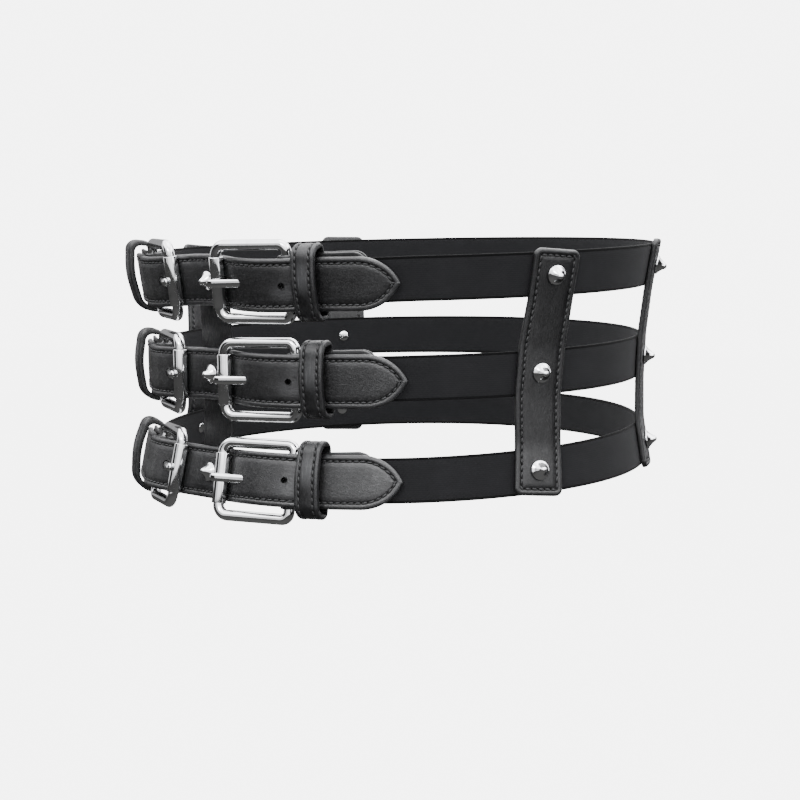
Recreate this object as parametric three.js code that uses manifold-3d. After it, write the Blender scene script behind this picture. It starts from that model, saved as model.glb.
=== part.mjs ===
// Three-row cinch belt, shown fastened round a waist. Millimetres, +Z up, centre front at -Y, the wearer's left
// at +X. The origin is the middle of the waist hollow, level with the middle row at the sides.
//
// Each row is an elastic band that runs round the back between two leather end tabs. Each tab holds a roller
// buckle, and a short leather strap with two pointed ends closes the front through both buckles. Five leather
// straps run down the rows and hold them apart, with a cone stud at each crossing.
import * as THREE from 'three';
import { mergeVertices } from 'three/addons/utils/BufferGeometryUtils.js';
import Module from 'manifold-3d';

const wasm = await Module();
wasm.setup();

// Clearance kept between neighbouring solids.
const gap = 0.3;

// The rows, measured on the outer face of the elastic at half its height. halfWidth and halfDepth are the
// ellipse's half axes along X and Y, height is the level at the wearer's sides, backRise is the climb for each
// millimetre towards the back, and lean is how far the band's face tips outwards for each millimetre upwards.
// rightPush is how far the wearer's right keeper is pushed up for each millimetre outwards from its tab. The
// drops are how far each buckle hangs below the row's middle, at its front bar and at its heel bar. studPlace is
// where the centre stud stands along the row.
const rows = [
  {
    name: 'top', halfWidth: 135.7, halfDepth: 111.3, height: 43.2, backRise: 0.055, lean: 0.17,
    rightPush: 0.3, drops: { left: [-0.5, 0.3], right: [-0.4, 0.3] }, studPlace: 2.6,
  },
  {
    name: 'middle', halfWidth: 130.6, halfDepth: 107.2, height: 0, backRise: 0.06, lean: 0.035,
    rightPush: 0.2, drops: { left: [1.2, 0.9], right: [0.6, 0.6] }, studPlace: 0.2,
  },
  {
    name: 'bottom', halfWidth: 132.6, halfDepth: 108.7, height: -42.4, backRise: 0.09, lean: -0.175,
    rightPush: 0.31, drops: { left: [2.1, 1.6], right: [0.8, 0.6] }, studPlace: 1,
  },
];
const sides = [
  { name: 'left', sign: 1 },
  { name: 'right', sign: -1 },
];

// Driving sizes. Places along a row are distances from the centre front, measured round the elastic's face.
const elasticWidth = 20;
const elasticThickness = 1.2;
const strapWidth = 24;
const strapThickness = 2.4;
const strapDrop = 0.9;
const tipPlace = 103.3;
const tipLength = 18;
const prongHoleRadius = 1.35;
const spareHolePlace = 51.4;
const frameHeight = 38.2;
const wireRadius = 2.5;
const frontCornerRadius = 5;
const heelCornerRadius = 3.2;
const barPlace = 16.6;
const heelPlace = 51.5;
const rollerWall = 0.45;
const prongWidth = 3.8;
const prongThickness = 2;
const prongOverhang = 3.4;
const chapeWidth = 24.6;
const chapeThickness = 1.3;
const chapeLift = 0.7;
const foldHalf = 11.9;
const chapeEnd = 89.5;
const keeperPlace = 58.6;
const keeperWidth = 10.6;
const keeperHeight = 34.6;
const keeperThickness = 2.6;
const keeperBackThickness = 1.2;
const keeperFace = 13.8;
const keeperCrown = 1.2;
const keeperLift = -0.1;
const uprightWidth = 22.4;
const uprightThickness = 2.4;
const centreUprightThickness = 1.8;
const studRadius = 4.4;
const studHeight = 4.8;
const postRadius = 0.9;
const capRadius = 2.6;
const capThickness = 0.7;

// Distances outwards from the elastic's outer face, worked out from the layers that lie on the body.
const bodyFace = -elasticThickness;
const innerFlapMiddle = bodyFace + 0.1 + chapeThickness / 2;
const elasticEndMiddle = innerFlapMiddle + chapeThickness / 2 + gap + elasticThickness / 2;
const outerFlapMiddle = elasticEndMiddle + elasticThickness / 2 + gap + chapeThickness / 2;
const foldRadius = wireRadius + gap + chapeThickness / 2;
const heelOut = innerFlapMiddle + foldRadius;
const strapOnTab = outerFlapMiddle + chapeThickness / 2 + gap + strapThickness / 2;
const strapOnFold = heelOut + foldRadius + chapeThickness / 2 + gap + strapThickness / 2;
const centreUprightMiddle = bodyFace + 0.1 + centreUprightThickness / 2;
const strapAtCentre = centreUprightMiddle + centreUprightThickness / 2 + gap + strapThickness / 2;
const strapAtBar = 4.8;
const rollerRadius = wireRadius + gap + rollerWall;
const barOut = strapAtBar + strapThickness / 2 + gap + rollerRadius;
const uprightMiddle = gap + uprightThickness / 2;

const leather = new THREE.MeshStandardMaterial({ color: 0x1d1e20, roughness: 0.48, metalness: 0 });
const elastic = new THREE.MeshStandardMaterial({ color: 0x232427, roughness: 0.85, metalness: 0 });
const chrome = new THREE.MeshStandardMaterial({ color: 0xc9cbcd, roughness: 0.14, metalness: 1 });

const belt = new THREE.Group();

function addPiece(name, geometry, material, matrix = new THREE.Matrix4()) {
  const mesh = new THREE.Mesh(geometry, material);
  mesh.name = name;
  matrix.decompose(mesh.position, mesh.quaternion, mesh.scale);
  belt.add(mesh);
}

// A row's curve, read by distance from the centre front: positive towards the wearer's left, on past the
// centre back.
function makeCurve(row) {
  const steps = 1440;
  const point = (angle) => {
    const y = -row.halfDepth * Math.cos(angle);
    return new THREE.Vector3(row.halfWidth * Math.sin(angle), y, row.height + row.backRise * y);
  };
  const lengths = [0];
  for (let i = 1; i <= steps; i += 1) {
    const from = point((2 * Math.PI * (i - 1)) / steps);
    lengths.push(lengths[i - 1] + from.distanceTo(point((2 * Math.PI * i) / steps)));
  }
  const length = lengths[steps];
  const placeAtAngle = (angle) => {
    const step = (Math.abs(angle) / (2 * Math.PI)) * steps;
    const below = Math.floor(step);
    return Math.sign(angle) * THREE.MathUtils.lerp(lengths[below], lengths[below + 1], step - below);
  };
  const angleAtPlace = (place) => {
    const wrapped = THREE.MathUtils.euclideanModulo(place, length);
    let above = 1;
    while (lengths[above] < wrapped) above += 1;
    const part = (wrapped - lengths[above - 1]) / (lengths[above] - lengths[above - 1]);
    return (2 * Math.PI * (above - 1 + part)) / steps;
  };
  const axesAt = (place) => {
    const angle = angleAtPlace(place);
    const slope = row.halfDepth * Math.sin(angle);
    const along = new THREE.Vector3(row.halfWidth * Math.cos(angle), slope, row.backRise * slope).normalize();
    const level = new THREE.Vector3(Math.sin(angle) / row.halfWidth, -Math.cos(angle) / row.halfDepth, 0);
    level.normalize();
    const plumb = new THREE.Vector3().crossVectors(level, along).normalize();
    const tip = Math.atan(row.lean);
    const upward = plumb.clone().multiplyScalar(Math.cos(tip)).addScaledVector(level, Math.sin(tip));
    const outward = level.clone().multiplyScalar(Math.cos(tip)).addScaledVector(plumb, -Math.sin(tip));
    return { origin: point(angle), along, upward, outward };
  };
  const at = (place, out, up) => {
    const axes = axesAt(place);
    return axes.origin.addScaledVector(axes.outward, out).addScaledVector(axes.upward, up);
  };
  return { length, placeAtAngle, axesAt, at };
}
const curves = rows.map(makeCurve);

// A closed body from points and triangles, turned so that its faces point outwards.
function makeBody(points, triangles) {
  let volume = 0;
  for (const [a, b, c] of triangles) {
    volume += points[a].dot(new THREE.Vector3().crossVectors(points[b], points[c]));
  }
  const index = triangles.flatMap(([a, b, c]) => (volume < 0 ? [a, c, b] : [a, b, c]));
  const geometry = new THREE.BufferGeometry();
  geometry.setAttribute('position', new THREE.Float32BufferAttribute(points.flatMap((p) => p.toArray()), 3));
  geometry.setIndex(index);
  geometry.computeVertexNormals();
  return geometry;
}

// A band of leather or elastic through stations. Each station has as many points across its inner face as
// across its outer face.
function makeBand(stations) {
  const across = stations[0].inner.length;
  const size = 2 * across;
  const points = stations.flatMap((station) => [...station.inner, ...station.outer]);
  const triangles = [];
  const quad = (a, b, c, d) => triangles.push([a, b, c], [a, c, d]);
  for (let i = 0; i + 1 < stations.length; i += 1) {
    const here = i * size;
    const next = here + size;
    for (let k = 0; k + 1 < across; k += 1) {
      quad(here + k, here + k + 1, next + k + 1, next + k);
      quad(here + across + k + 1, here + across + k, next + across + k, next + across + k + 1);
    }
    quad(here, next, next + across, here + across);
    quad(here + across - 1, here + size - 1, next + size - 1, next + across - 1);
  }
  const last = (stations.length - 1) * size;
  for (let k = 0; k + 1 < across; k += 1) {
    quad(k, across + k, across + k + 1, k + 1);
    quad(last + k, last + k + 1, last + across + k + 1, last + across + k);
  }
  return makeBody(points, triangles);
}

// A ring from loops of points that follow each other round it, such as a bent wire or a leather loop.
function makeRing(loops) {
  const size = loops[0].length;
  const triangles = [];
  loops.forEach((loop, i) => {
    const here = i * size;
    const next = ((i + 1) % loops.length) * size;
    for (let k = 0; k < size; k += 1) {
      const beside = (k + 1) % size;
      triangles.push([here + k, here + beside, next + beside], [here + k, next + beside, next + k]);
    }
  });
  return makeBody(loops.flat(), triangles);
}

function toSolid(geometry) {
  const bare = geometry.clone();
  bare.deleteAttribute('normal');
  bare.deleteAttribute('uv');
  const merged = mergeVertices(bare, 1e-4);
  const vertProperties = Float32Array.from(merged.attributes.position.array);
  return new wasm.Manifold(
    new wasm.Mesh({ numProp: 3, vertProperties, triVerts: Uint32Array.from(merged.index.array) }),
  );
}

function cut(geometry, cutters) {
  let solid = toSolid(geometry);
  for (const cutter of cutters) solid = solid.subtract(toSolid(cutter));
  const mesh = solid.getMesh();
  const result = new THREE.BufferGeometry();
  result.setAttribute('position', new THREE.BufferAttribute(Float32Array.from(mesh.vertProperties), 3));
  result.setIndex(new THREE.BufferAttribute(Uint32Array.from(mesh.triVerts), 1));
  result.computeVertexNormals();
  return result;
}

const drillSides = 6;

// A round drill that stands on a row's face.
function drill(row, place, radius, up = 0) {
  const { upward, outward, along } = curves[row].axesAt(place);
  const geometry = new THREE.CylinderGeometry(radius, radius, 30, drillSides);
  const matrix = new THREE.Matrix4().makeBasis(upward, outward, along);
  matrix.setPosition(curves[row].at(place, 0, up));
  return geometry.applyMatrix4(matrix);
}

// A band that follows a row. The path lists places, distances outwards, half widths and heights above the
// row's middle.
function makeRowBand(row, path, thickness) {
  const curve = curves[row];
  const stations = path.map((spot, i) => {
    const before = path[Math.max(i - 1, 0)];
    const after = path[Math.min(i + 1, path.length - 1)];
    const middle = curve.at(spot.place, spot.out, spot.up);
    const run = curve.at(after.place, after.out, after.up).sub(curve.at(before.place, before.out, before.up));
    const upward = curve.axesAt(spot.place).upward;
    const face = new THREE.Vector3().crossVectors(run, upward).normalize();
    const corner = (up, out) => middle.clone().addScaledVector(upward, up).addScaledVector(face, out);
    return {
      inner: [corner(-spot.half, -thickness / 2), corner(spot.half, -thickness / 2)],
      outer: [corner(-spot.half, thickness / 2), corner(spot.half, thickness / 2)],
    };
  });
  return makeBand(stations);
}

// Straps that run down the rows. angles are measured round each row's ellipse from the centre front, in
// degrees, from the top row to the bottom one.
const uprights = [
  {
    name: 'center_strap', angles: [0, 0, 0], middle: centreUprightMiddle, thickness: centreUprightThickness,
    overhang: 0.6, corner: 1,
  },
];
for (const { name, sign } of sides) {
  const shared = { middle: uprightMiddle, thickness: uprightThickness, overhang: 1.2, corner: 3.4 };
  uprights.push({ name: `side_strap_${name}`, angles: [78, 76.4, 75.8].map((a) => sign * a), ...shared });
  uprights.push({
    ...shared, name: `back_strap_${name}`, angles: [122.5, 122.5, 122.5].map((a) => sign * a), overhang: 2.2,
  });
}
for (const upright of uprights) {
  upright.places = upright.angles.map((a, row) => curves[row].placeAtAngle(THREE.MathUtils.degToRad(a)));
  upright.studPlaces = upright.name === 'center_strap' ? rows.map((row) => row.studPlace) : upright.places;
}

// The elastic bands: from inside one end tab, round the back, to inside the other. A vertex line lies at both
// edges and the middle of each upright, so that the two stay parallel.
const elasticStart = 72;
const liftStart = 92;
const liftEnd = 112;
const elasticStep = 20;
const flapPlaces = [elasticStart, 80.5, chapeEnd];

function elasticOut(place) {
  const blend = 1 - THREE.MathUtils.smoothstep(place, liftStart, liftEnd);
  return THREE.MathUtils.lerp(-elasticThickness / 2, elasticEndMiddle, blend);
}

function makeElastic(row) {
  const half = curves[row].length / 2;
  const marks = [...flapPlaces, 97, 102, 107, liftEnd];
  for (const { places } of uprights) {
    const place = places[row];
    if (place > liftEnd) marks.push(place - uprightWidth / 2, place, place + uprightWidth / 2);
  }
  marks.push(half);
  marks.sort((a, b) => a - b);
  const places = [marks[0]];
  for (let i = 1; i < marks.length; i += 1) {
    const parts = Math.ceil((marks[i] - marks[i - 1]) / elasticStep);
    for (let k = 1; k <= parts; k += 1) places.push(THREE.MathUtils.lerp(marks[i - 1], marks[i], k / parts));
  }
  const oneSide = places.map((place) => ({ place, out: elasticOut(place), half: elasticWidth / 2, up: 0 }));
  const otherSide = oneSide.slice(0, -1).reverse();
  const path = [...oneSide, ...otherSide.map((spot) => ({ ...spot, place: 2 * half - spot.place }))];
  const band = makeRowBand(row, path, elasticThickness);
  const crossings = uprights.filter((upright) => Math.abs(upright.places[row]) > liftEnd);
  return cut(band, crossings.map((upright) => drill(row, upright.places[row], postRadius + gap)));
}
rows.forEach(({ name }, row) => addPiece(`elastic_${name}`, makeElastic(row), elastic));

// Buckles. Each is placed by its heel bar and its front bar: local x runs from the heel bar to the front bar,
// local z outwards.
function buckleMatrix(row, sign, [barDrop, heelDrop]) {
  const curve = curves[row];
  const heel = curve.at(sign * heelPlace, heelOut, -heelDrop);
  const front = curve.at(sign * barPlace, barOut, -barDrop);
  const x = front.clone().sub(heel);
  const reach = x.length();
  x.normalize();
  const outward = curve.axesAt((sign * (heelPlace + barPlace)) / 2).outward;
  const y = new THREE.Vector3().crossVectors(outward, x).normalize();
  const z = new THREE.Vector3().crossVectors(x, y);
  const matrix = new THREE.Matrix4().makeBasis(x, y, z);
  matrix.setPosition(heel);
  return { matrix, reach };
}

function makeFrame(reach) {
  const wireSides = 8;
  const arcSteps = 3;
  const halfHeight = frameHeight / 2 - wireRadius;
  const corners = [
    { right: 1, top: 1, bend: frontCornerRadius, start: 0 },
    { right: 0, top: 1, bend: heelCornerRadius, start: Math.PI / 2 },
    { right: 0, top: -1, bend: heelCornerRadius, start: Math.PI },
    { right: 1, top: -1, bend: frontCornerRadius, start: (3 * Math.PI) / 2 },
  ];
  const loops = [];
  for (const { right, top, bend, start } of corners) {
    const x = right ? reach - bend : bend;
    const y = top * (halfHeight - bend);
    for (let i = 0; i <= arcSteps; i += 1) {
      const turn = start + (i / arcSteps) * (Math.PI / 2);
      const loop = [];
      for (let k = 0; k < wireSides; k += 1) {
        const round = ((k + 0.5) / wireSides) * 2 * Math.PI;
        const radius = bend + wireRadius * Math.cos(round);
        const side = wireRadius * Math.sin(round);
        loop.push(new THREE.Vector3(x + radius * Math.cos(turn), y + radius * Math.sin(turn), side));
      }
      loops.push(loop);
    }
  }
  return makeRing(loops);
}

function makeRoller() {
  const half = frameHeight / 2 - wireRadius - frontCornerRadius - 0.2;
  const inner = wireRadius + gap;
  const corners = [[inner, -half], [rollerRadius, -half], [rollerRadius, half], [inner, half], [inner, -half]];
  return new THREE.LatheGeometry(corners.map(([x, y]) => new THREE.Vector2(x, y)), 10);
}

// The prong's line: its eye is centred on the heel bar and its shaft rests on the roller.
const prongRise = rollerRadius + gap + prongThickness / 2;
const eyeRadius = wireRadius + gap + 1.1;

function makeProng(reach) {
  const slope = Math.atan2(prongRise, reach);
  const shaftEnd = reach / Math.cos(slope) + prongOverhang;
  const half = prongThickness / 2;
  const root = Math.sqrt(eyeRadius * eyeRadius - half * half);
  const rootTurn = Math.asin(half / eyeRadius);
  const outline = new THREE.Shape();
  outline.moveTo(root, -half);
  outline.lineTo(shaftEnd - prongOverhang, -half);
  outline.lineTo(shaftEnd - 1.4, -half - 0.5);
  outline.lineTo(shaftEnd, -half - 0.3);
  outline.lineTo(shaftEnd, half - 1.3);
  outline.lineTo(shaftEnd - 1.2, half - 0.4);
  outline.lineTo(shaftEnd - prongOverhang, half);
  outline.lineTo(root, half);
  outline.absarc(0, 0, eyeRadius, rootTurn, 2 * Math.PI - rootTurn, false);
  const eye = new THREE.Path();
  eye.absarc(0, 0, wireRadius + gap, 0, 2 * Math.PI, true);
  outline.holes.push(eye);
  const geometry = new THREE.ExtrudeGeometry(outline, { depth: prongWidth, bevelEnabled: false, curveSegments: 7 });
  geometry.translate(0, 0, -prongWidth / 2);
  geometry.rotateX(Math.PI / 2);
  geometry.rotateY(-slope);
  return geometry;
}

// The passage through the strap that the prong's shaft runs in, a little wider than the shaft.
function makeProngPassage({ matrix, reach }) {
  const slope = Math.atan2(prongRise, reach);
  const geometry = new THREE.BoxGeometry(18, prongWidth + 2 * gap, prongThickness + 2.4 * gap);
  geometry.translate(reach * 0.62, 0, 0);
  geometry.rotateY(-slope);
  return geometry.applyMatrix4(matrix);
}

const buckles = [];
rows.forEach((row, index) => {
  for (const { name, sign } of sides) {
    const drops = row.drops[name];
    const label = `${row.name}_${name}`;
    const buckle = { row: index, sign, label, heelDrop: drops[1], ...buckleMatrix(index, sign, drops) };
    buckles.push(buckle);
    addPiece(`buckle_frame_${buckle.label}`, makeFrame(buckle.reach), chrome, buckle.matrix);
    const barMatrix = buckle.matrix.clone().multiply(new THREE.Matrix4().makeTranslation(buckle.reach, 0, 0));
    addPiece(`roller_${buckle.label}`, makeRoller(), chrome, barMatrix);
    addPiece(`prong_${buckle.label}`, makeProng(buckle.reach), chrome, buckle.matrix);
  }
});

// Front straps: the line from the centre front to one tip, in places and distances outwards. The strap dives
// under the front bar, climbs over the prong and the tab's fold, and lies down on the tab.
const strapLine = [
  { place: 0, out: strapAtCentre },
  { place: 7.2, out: strapAtCentre + 0.1 },
  { place: 11.5, out: strapAtCentre + 1.2 },
  { place: barPlace, out: strapAtBar },
  { place: 20, out: strapAtBar + 1 },
  { place: 24, out: strapAtBar + 2.6 },
  { place: 28.5, out: strapAtBar + 4 },
  { place: 33, out: strapAtBar + 4.5 },
  { place: 38, out: strapOnFold + 1.35 },
  { place: 44, out: strapOnFold + 0.8 },
  { place: heelPlace, out: strapOnFold },
  { place: 58, out: strapOnTab + 1.5 },
  { place: 64, out: strapOnTab + 0.6 },
  { place: 70, out: strapOnTab + 0.2 },
  { place: tipPlace - tipLength, out: strapOnTab },
];
const tipLift = 3.1;

function makeFrontStrap(row) {
  const half = strapWidth / 2;
  const tipSteps = 6;
  const line = strapLine.map((spot) => ({ ...spot, half }));
  for (let i = 1; i <= tipSteps; i += 1) {
    const part = Math.sin(((i / tipSteps) * Math.PI) / 2);
    const width = (1 - part ** 1.9) ** 0.72;
    const settle = THREE.MathUtils.smoothstep(part, 0.2, 1);
    line.push({
      place: tipPlace - tipLength * (1 - part), half: Math.max(half * width, 0.5),
      out: THREE.MathUtils.lerp(strapOnTab, tipLift, settle),
    });
  }
  const dropAt = (place) => -strapDrop * THREE.MathUtils.smoothstep(place, 0, heelPlace);
  const leftHalf = line.map((spot) => ({ ...spot, up: dropAt(spot.place) }));
  const rightHalf = leftHalf.slice(1).reverse().map((spot) => ({ ...spot, place: -spot.place }));
  const band = makeRowBand(row, [...rightHalf, ...leftHalf], strapThickness);
  const cutters = [drill(row, rows[row].studPlace, postRadius + gap)];
  for (const buckle of buckles.filter((each) => each.row === row)) {
    cutters.push(makeProngPassage(buckle));
    cutters.push(drill(row, buckle.sign * spareHolePlace, prongHoleRadius, -strapDrop));
  }
  return cut(band, cutters);
}
rows.forEach(({ name }, row) => addPiece(`front_strap_${name}`, makeFrontStrap(row), leather));

// End tabs: leather folded round the heel bar, with the elastic's end between the two flaps and a slot in the
// fold for the prong.
const flapStart = heelPlace + 5.5;

function makeEndTab({ row, sign, matrix, heelDrop }) {
  const half = chapeWidth / 2;
  const rounding = [
    { back: 0, inset: 6.4 },
    { back: 1.3, inset: 2.6 },
    { back: 4.4, inset: 0.4 },
  ];
  const flap = rounding.map(({ back, inset }) => ({ place: chapeEnd - back, half: half - inset, up: chapeLift }));
  flap.push(...flapPlaces.slice(0, -1).reverse().map((place) => ({ place, half, up: chapeLift })));
  flap.push({ place: flapStart, half: foldHalf, up: 0 });
  const outerFlap = flap.map((spot) => ({ ...spot, out: outerFlapMiddle }));
  const innerFlap = flap.map((spot) => ({ ...spot, out: innerFlapMiddle })).reverse();
  const fold = [];
  const foldSteps = 6;
  const foldStart = THREE.MathUtils.degToRad(58);
  for (let i = 0; i <= foldSteps; i += 1) {
    const turn = THREE.MathUtils.lerp(foldStart, 1.5 * Math.PI, i / foldSteps);
    fold.push({
      place: heelPlace + foldRadius * Math.cos(turn), out: heelOut + foldRadius * Math.sin(turn),
      half: foldHalf, up: -heelDrop,
    });
  }
  const path = [...outerFlap, ...fold, ...innerFlap].map((spot) => ({ ...spot, place: sign * spot.place }));
  const slot = new THREE.BoxGeometry(2 * foldRadius + 5.6, prongWidth + 2 * gap, 3 * foldRadius);
  slot.translate(1.2, 0, 0);
  return cut(makeRowBand(row, path, chapeThickness), [slot.applyMatrix4(matrix)]);
}
for (const buckle of buckles) addPiece(`end_tab_${buckle.label}`, makeEndTab(buckle), leather);

// Keepers: closed leather loops over the strap, bulging away from it. The back of the loop is thin and lies
// between the tab's flaps.
function makeKeeper({ row, sign }) {
  const curve = curves[row];
  const back = innerFlapMiddle + chapeThickness / 2 + gap;
  const ring = ({ half, front, crown, frontBend, rear, rearBend }) => {
    const corners = [
      { up: half - frontBend, out: front - frontBend, bend: frontBend, start: 0, steps: 3 },
      { up: frontBend - half, out: front - frontBend, bend: frontBend, start: 90, steps: 3 },
      { up: rearBend - half, out: rear + rearBend, bend: rearBend, start: 180, steps: 2 },
      { up: half - rearBend, out: rear + rearBend, bend: rearBend, start: 270, steps: 2 },
    ];
    return corners.flatMap(({ up, out, bend, start, steps }, i) => {
      const points = [];
      for (let k = 0; k <= steps; k += 1) {
        const turn = THREE.MathUtils.degToRad(start + (90 * k) / steps);
        points.push({ up: up + bend * Math.cos(turn), out: out + bend * Math.sin(turn) });
      }
      if (i === 0) points.push({ up: 0, out: front + crown });
      return points;
    });
  };
  const outer = {
    half: keeperHeight / 2, front: keeperFace - keeperCrown, crown: keeperCrown, frontBend: 6.8,
    rear: back, rearBend: 4,
  };
  const inner = {
    ...outer, half: outer.half - keeperThickness, front: outer.front - keeperThickness, frontBend: 3.9,
    rear: back + keeperBackThickness, rearBend: 1.3,
  };
  const inside = ring(inner);
  const push = sign < 0 ? rows[row].rightPush : 0;
  const place = ({ out, up }, step) => {
    const height = up + keeperLift + push * (out - outerFlapMiddle);
    return curve.at(sign * (keeperPlace + step * keeperWidth), out, height);
  };
  const loops = ring(outer).map((spot, i) => [
    place(spot, 0), place(spot, 1), place(inside[i], 1), place(inside[i], 0),
  ]);
  return makeRing(loops);
}
for (const buckle of buckles) addPiece(`keeper_${buckle.label}`, makeKeeper(buckle), leather);

// Uprights: they lie flat on each row and run straight from one row to the next. The strap's line is turned a
// little across each row, because the rows climb towards the back and the strap doesn't.
function makeUpright(upright) {
  const { places, studPlaces, middle, thickness, overhang, corner } = upright;
  const end = elasticWidth / 2 + overhang;
  const lowest = rows.length - 1;
  const run = curves[0].at(places[0], middle, 0).sub(curves[lowest].at(places[lowest], middle, 0));
  const turns = places.map((place, row) => {
    const { along, upward } = curves[row].axesAt(place);
    return Math.atan2(run.dot(along), run.dot(upward));
  });
  const level = (row, rise, narrow) => {
    const half = uprightWidth / 2 - narrow;
    const sine = Math.sin(turns[row]);
    const cosine = Math.cos(turns[row]);
    const face = (out) => [-half, 0, half].map((step) => (
      curves[row].at(places[row] + step * cosine + rise * sine, out, rise * cosine - step * sine)
    ));
    return { inner: face(middle - thickness / 2), outer: face(middle + thickness / 2) };
  };
  const rounding = [
    { back: 0, narrow: corner },
    { back: 0.3 * corner, narrow: 0.29 * corner },
    { back: corner, narrow: 0 },
  ];
  const flatEdge = elasticWidth / 2 + 0.8;
  const stations = rounding.map(({ back, narrow }) => level(0, end - back, narrow));
  for (let row = 0; row <= lowest; row += 1) {
    if (row > 0) stations.push(level(row, flatEdge, 0));
    stations.push(level(row, 0, 0));
    if (row < lowest) stations.push(level(row, -flatEdge, 0));
  }
  stations.push(...rounding.reverse().map(({ back, narrow }) => level(lowest, back - end, narrow)));
  return cut(makeBand(stations), studPlaces.map((place, row) => drill(row, place, postRadius + gap)));
}
for (const upright of uprights) addPiece(upright.name, makeUpright(upright), leather);

// Cone studs: a post goes through the layers and ends in a cap on the body side.
function makeStud(face, back) {
  const profile = [
    [0, face + studHeight],
    [0.7, face + studHeight - 0.35],
    [studRadius, face + 0.7],
    [studRadius, face],
    [postRadius, face],
    [postRadius, back],
    [capRadius, back],
    [0, back - capThickness],
  ];
  return new THREE.LatheGeometry(profile.map(([x, y]) => new THREE.Vector2(x, y)).reverse(), 8);
}

for (const upright of uprights) {
  const isCentre = upright.name === 'center_strap';
  const face = gap + (isCentre ? strapAtCentre + strapThickness / 2 : upright.middle + upright.thickness / 2);
  const back = isCentre ? upright.middle - upright.thickness / 2 - gap : bodyFace - gap;
  rows.forEach((row, index) => {
    const place = upright.studPlaces[index];
    const { upward, outward, along } = curves[index].axesAt(place);
    const matrix = new THREE.Matrix4().makeBasis(upward, outward, along);
    matrix.setPosition(curves[index].at(place, 0, 0));
    addPiece(`stud_${upright.name.replace('_strap', '')}_${row.name}`, makeStud(face, back), chrome, matrix);
  });
}

export default belt;
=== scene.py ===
from collections import namedtuple
from math import atan, atan2, cos, pi, radians, sin

import bpy
import numpy as np
from bpy.props import FloatProperty, FloatVectorProperty, IntProperty, PointerProperty
from mathutils import Euler, Matrix, Vector


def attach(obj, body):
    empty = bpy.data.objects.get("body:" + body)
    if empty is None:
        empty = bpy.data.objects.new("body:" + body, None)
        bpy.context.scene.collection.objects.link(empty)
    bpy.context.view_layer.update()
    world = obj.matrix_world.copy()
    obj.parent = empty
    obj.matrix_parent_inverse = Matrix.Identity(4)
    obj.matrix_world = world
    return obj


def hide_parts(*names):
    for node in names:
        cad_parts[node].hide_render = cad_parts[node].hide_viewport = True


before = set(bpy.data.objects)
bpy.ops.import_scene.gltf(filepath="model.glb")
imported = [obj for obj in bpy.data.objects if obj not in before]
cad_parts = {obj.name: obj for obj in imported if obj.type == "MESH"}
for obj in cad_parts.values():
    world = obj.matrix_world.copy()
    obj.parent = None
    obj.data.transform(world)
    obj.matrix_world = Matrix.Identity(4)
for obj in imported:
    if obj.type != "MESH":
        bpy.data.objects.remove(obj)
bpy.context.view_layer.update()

bl_info = {
    "name": "Cinch Belt",
    "version": (1, 0, 0),
    "blender": (4, 5, 0),
    "location": "3D View > Sidebar > Belt",
    "description": "Dresses a three-row cinch belt with leather, elastic, stitching and chrome",
    "category": "Mesh",
}

BODY = "root"
MM = 0.001
NUDGE = 0.25 * MM
BACKDROP = (6.0, 6.0, 6.0)
CAMERA_TURN = 0.8605

SIDES = {"left": 1, "right": -1}

# drops holds, for each side's sign, how far the buckle hangs below the row at its front bar and at its heel
# bar. right_push is how far the wearer's right keeper is pushed up for each millimetre outwards.
RowShape = namedtuple(
    "RowShape", "name half_width half_depth height back_rise lean right_push drops stud_place"
)
ROW_SHAPES = [
    RowShape("top", 135.7 * MM, 111.3 * MM, 43.2 * MM, 0.055, 0.17, 0.3,
             {1: (-0.5 * MM, 0.3 * MM), -1: (-0.4 * MM, 0.3 * MM)}, 2.6 * MM),
    RowShape("middle", 130.6 * MM, 107.2 * MM, 0.0, 0.06, 0.035, 0.2,
             {1: (1.2 * MM, 0.9 * MM), -1: (0.6 * MM, 0.6 * MM)}, 0.2 * MM),
    RowShape("bottom", 132.6 * MM, 108.7 * MM, -42.4 * MM, 0.09, -0.175, 0.31,
             {1: (2.1 * MM, 1.6 * MM), -1: (0.8 * MM, 0.6 * MM)}, 1.0 * MM),
]

# Where the outer uprights cross the three rows, in degrees from the centre front.
UPRIGHT_ANGLES = {"side": (78, 76.4, 75.8), "back": (122.5, 122.5, 122.5)}
UPRIGHT_OVERHANGS = {"side": 1.2 * MM, "back": 2.2 * MM}

# Distances of the grid lines from a piece's edge, close together at the rolled edge and the groove.
EDGE_LINES = np.array([0, 0.07, 0.25, 0.55, 0.95, 1.5, 2.05, 2.35, 2.6, 2.85, 3.1, 3.35, 3.7]) * MM
PLAIN_LINES = np.array([0, 0.07, 0.25, 0.5, 0.8, 1.6]) * MM
ELASTIC_LINES = np.array([0, 0.12, 0.35, 0.6, 0.85, 1.1, 1.5]) * MM
KEEPER_LINES = np.array([0, 0.08, 0.3, 0.65, 1.05, 1.4, 1.7, 1.92, 2.2, 2.48, 2.75, 3.1]) * MM

# How high a stitch's middle lies above the bottom of its groove.
STITCH_REST = 0.35 * MM
# How much is cut away on each side of the prong.
PRONG_PLAY = 0.35 * MM
# Half widths of the raised rim beside a seam and of the seam's groove.
RIM_SPREAD = 0.7 * MM
GROOVE_SPREAD = 0.42 * MM


def length(name, description, millimetres):
    return FloatProperty(name=name, description=description, default=millimetres * MM, unit="LENGTH")


def tone(name, description, value):
    return FloatVectorProperty(name=name, description=description, default=value, subtype="COLOR")


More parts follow.
